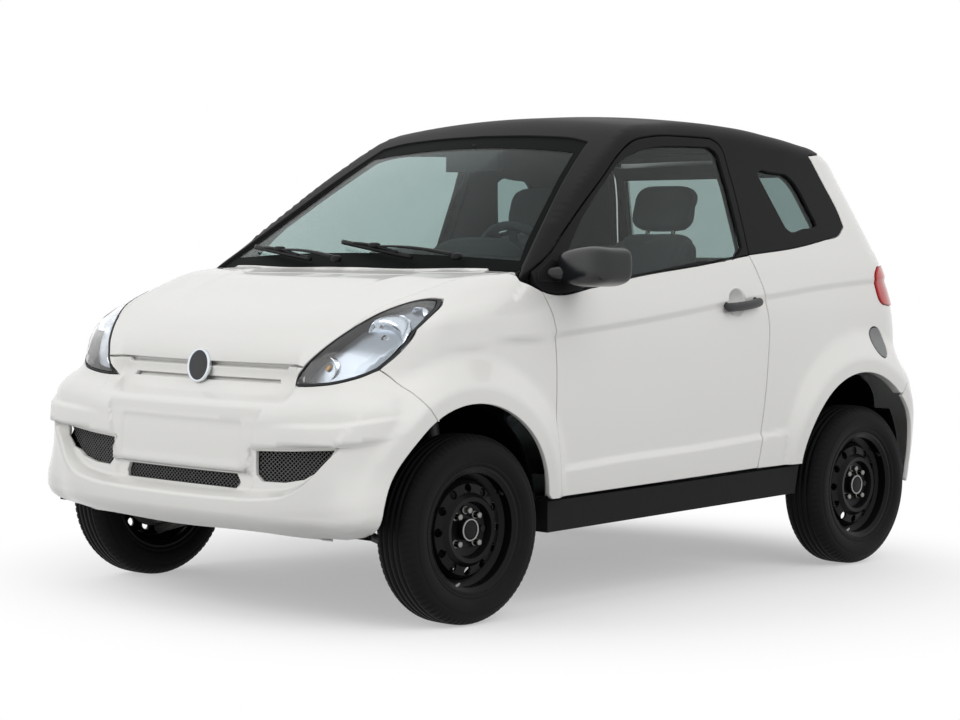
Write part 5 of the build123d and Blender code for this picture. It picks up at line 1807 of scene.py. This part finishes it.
def head_groove(spots):
    """The seam round a headrest's edge."""
    local = spots - spots.mean(0)
    return pressed(spots, np.abs(local[:, 1] - 0.012), 0.004, 0.006)


print("foam is remeshed every", VOXEL * 1000, "mm")

# %% Padded seats
def leaned(shape, up_by):
    """A shape moved up the seat's back and leaned with it."""
    points = shape[0] + (0, 0, up_by)
    turned_y = points[:, 1] * math.cos(BACK_LEAN) + points[:, 2] * math.sin(BACK_LEAN)
    turned_z = points[:, 2] * math.cos(BACK_LEAN) - points[:, 1] * math.sin(BACK_LEAN)
    return rows(points[:, 0] + SEAT_X, turned_y + BACK_FOOT[0], turned_z + BACK_FOOT[1]), *shape[1:]


base = pebble((0, 0, 0), (0.222, 0.243, 0.060), 6.0, across=72, up=36)
side_rise = 0.016 * ramp(np.abs(base[0][:, 0]), 0.12, 0.19)
front_fall = 0.014 * ramp(-base[0][:, 1], 0.12, 0.24)
base_points = base[0] + rows(0, 0, side_rise - front_fall)
cushion = (base_points + (SEAT_X, 0.035, 0.425), *base[1:])
rest_back = pebble((0, 0, 0), (0.216, 0.044, 0.350), 6.0, across=72, up=48)
back_points = rest_back[0].copy()
back_points[:, 0] *= 1 - 0.16 * ramp(back_points[:, 2], 0.02, 0.32)
back_points[:, 1] -= 0.018 * ramp(np.abs(back_points[:, 0]), 0.11, 0.19)
head = pebble((0, 0, 0), (0.126, 0.034, 0.078), 4.0, across=48, up=28)
# name, starting shape, seams, how far up the back (None for the cushion)
PADS = (
    ("seat_cushion", cushion, seat_groove, None),
    ("seat_back", (back_points, *rest_back[1:]), seat_groove, 0.372),
    ("headrest", head, head_groove, 0.790),
)
for name, start_shape, groove, up_by in PADS:
    pad = swelled(start_shape if up_by is None else leaned(start_shape, up_by), groove)
    for side, form in (("left", pad), ("right", mirrored(pad))):
        piece(name + "_" + side, form, seat_cloth, "root", "seats")
    print(name, len(pad[0]), "points")
posts = [tube([(SEAT_X + dx, BACK_FOOT[0] + u * math.sin(BACK_LEAN), BACK_FOOT[1] + u * math.cos(BACK_LEAN))
               for u in (0.63, 0.78)], 0.007, 12) for dx in (-0.055, 0.055)]
piece("headrest_posts", plain(*posts, *[mirrored(post) for post in posts]), zinc, "root", "seats")

# %% [markdown]
# ## Dashboard top
# Through the windscreen one sees the soft top of the dashboard: a long rounded pad with a hood over the
# dials ahead of the steering wheel and a low swelling in the middle. The solid below it stays.

# %% Dashboard pad
DASH_AT = np.array((0.0, -0.500, 0.955))
dash_pad = pebble(DASH_AT, (0.585, 0.135, 0.075), 5.0, across=72, up=28)
dial_hood = pebble(DASH_AT + (0.345, 0.010, 0.057), (0.150, 0.090, 0.070), 2.8, across=48, up=24)
middle_vent = pebble(DASH_AT + (0.030, 0.0, 0.057), (0.105, 0.095, 0.036), 3.0, across=40, up=20)
piece("dash_top", plain(dash_pad, dial_hood, middle_vent), cabin_trim, "root")
print("dashboard pad:", len(dash_pad[0]), "points")

# %% [markdown]
# ## Tailgate seal
# A hollow rubber strip is pushed onto the edge of the opening all the way round. It closes the gap that
# the tailgate needs to swing. A tube along the tailgate's own outline, moved into the car, is all it
# takes; it rides on the body, so it stays behind when the tailgate opens.

# %% Tailgate seal
SEAL_IN, SEAL_RADIUS = 0.034, 0.013
seal_path = rear_view.on(sunk(SEAL_IN)).lay(whole(gate_half))[0]
seal_strip = tube(np.concatenate([seal_path, seal_path[:1]]), SEAL_RADIUS, 10)
piece("tailgate_seal", seal_strip, lamp_rubber, "root")
print("seal:", len(seal_path), "points round the opening")

# %% [markdown]
# ## Finishes for the solids that stay
# Frame, axles, engine block, steering wheel, steel wheels and sills keep their CAD shape. Each gets a
# finish, and so do some of the solids that a new piece stands for: lamps, wipers, mirror, handles, flap and
# seats.

# %% Finishes for CAD nodes
NODE_FINISH = {
    "platform": frame_paint, "engine_block": cast_metal, "arch_liners": black_plastic_and_painted_shade, "front_arms": frame_paint,
    "rear_axle": frame_paint, "exhaust": zinc, "knuckle_left": cast_metal, "knuckle_right": cast_metal,
    "headlamps": lens_clear, "tail_lamps": lamp_red, "sills": black_trim, "wipers": black_trim,
    "mirror_left": mirror_black, "handle_left": handle_black, "handle_right": handle_black,
    "fuel_flap": black_trim, "dashboard": cabin_trim, "steering_wheel": cabin_trim, "seats": seat_cloth,
    "inner_mirror": cabin_trim,
}
for corner_name in ("front_left", "front_right", "rear_left", "rear_right"):
    NODE_FINISH["rim_" + corner_name] = wheel_paint
    NODE_FINISH["tyre_" + corner_name] = rubber
for name, coat in NODE_FINISH.items():
    kept = nodes[name]
    kept.data.materials.clear()
    kept.data.materials.append(coat)
print("nodes kept:", len(NODE_FINISH))
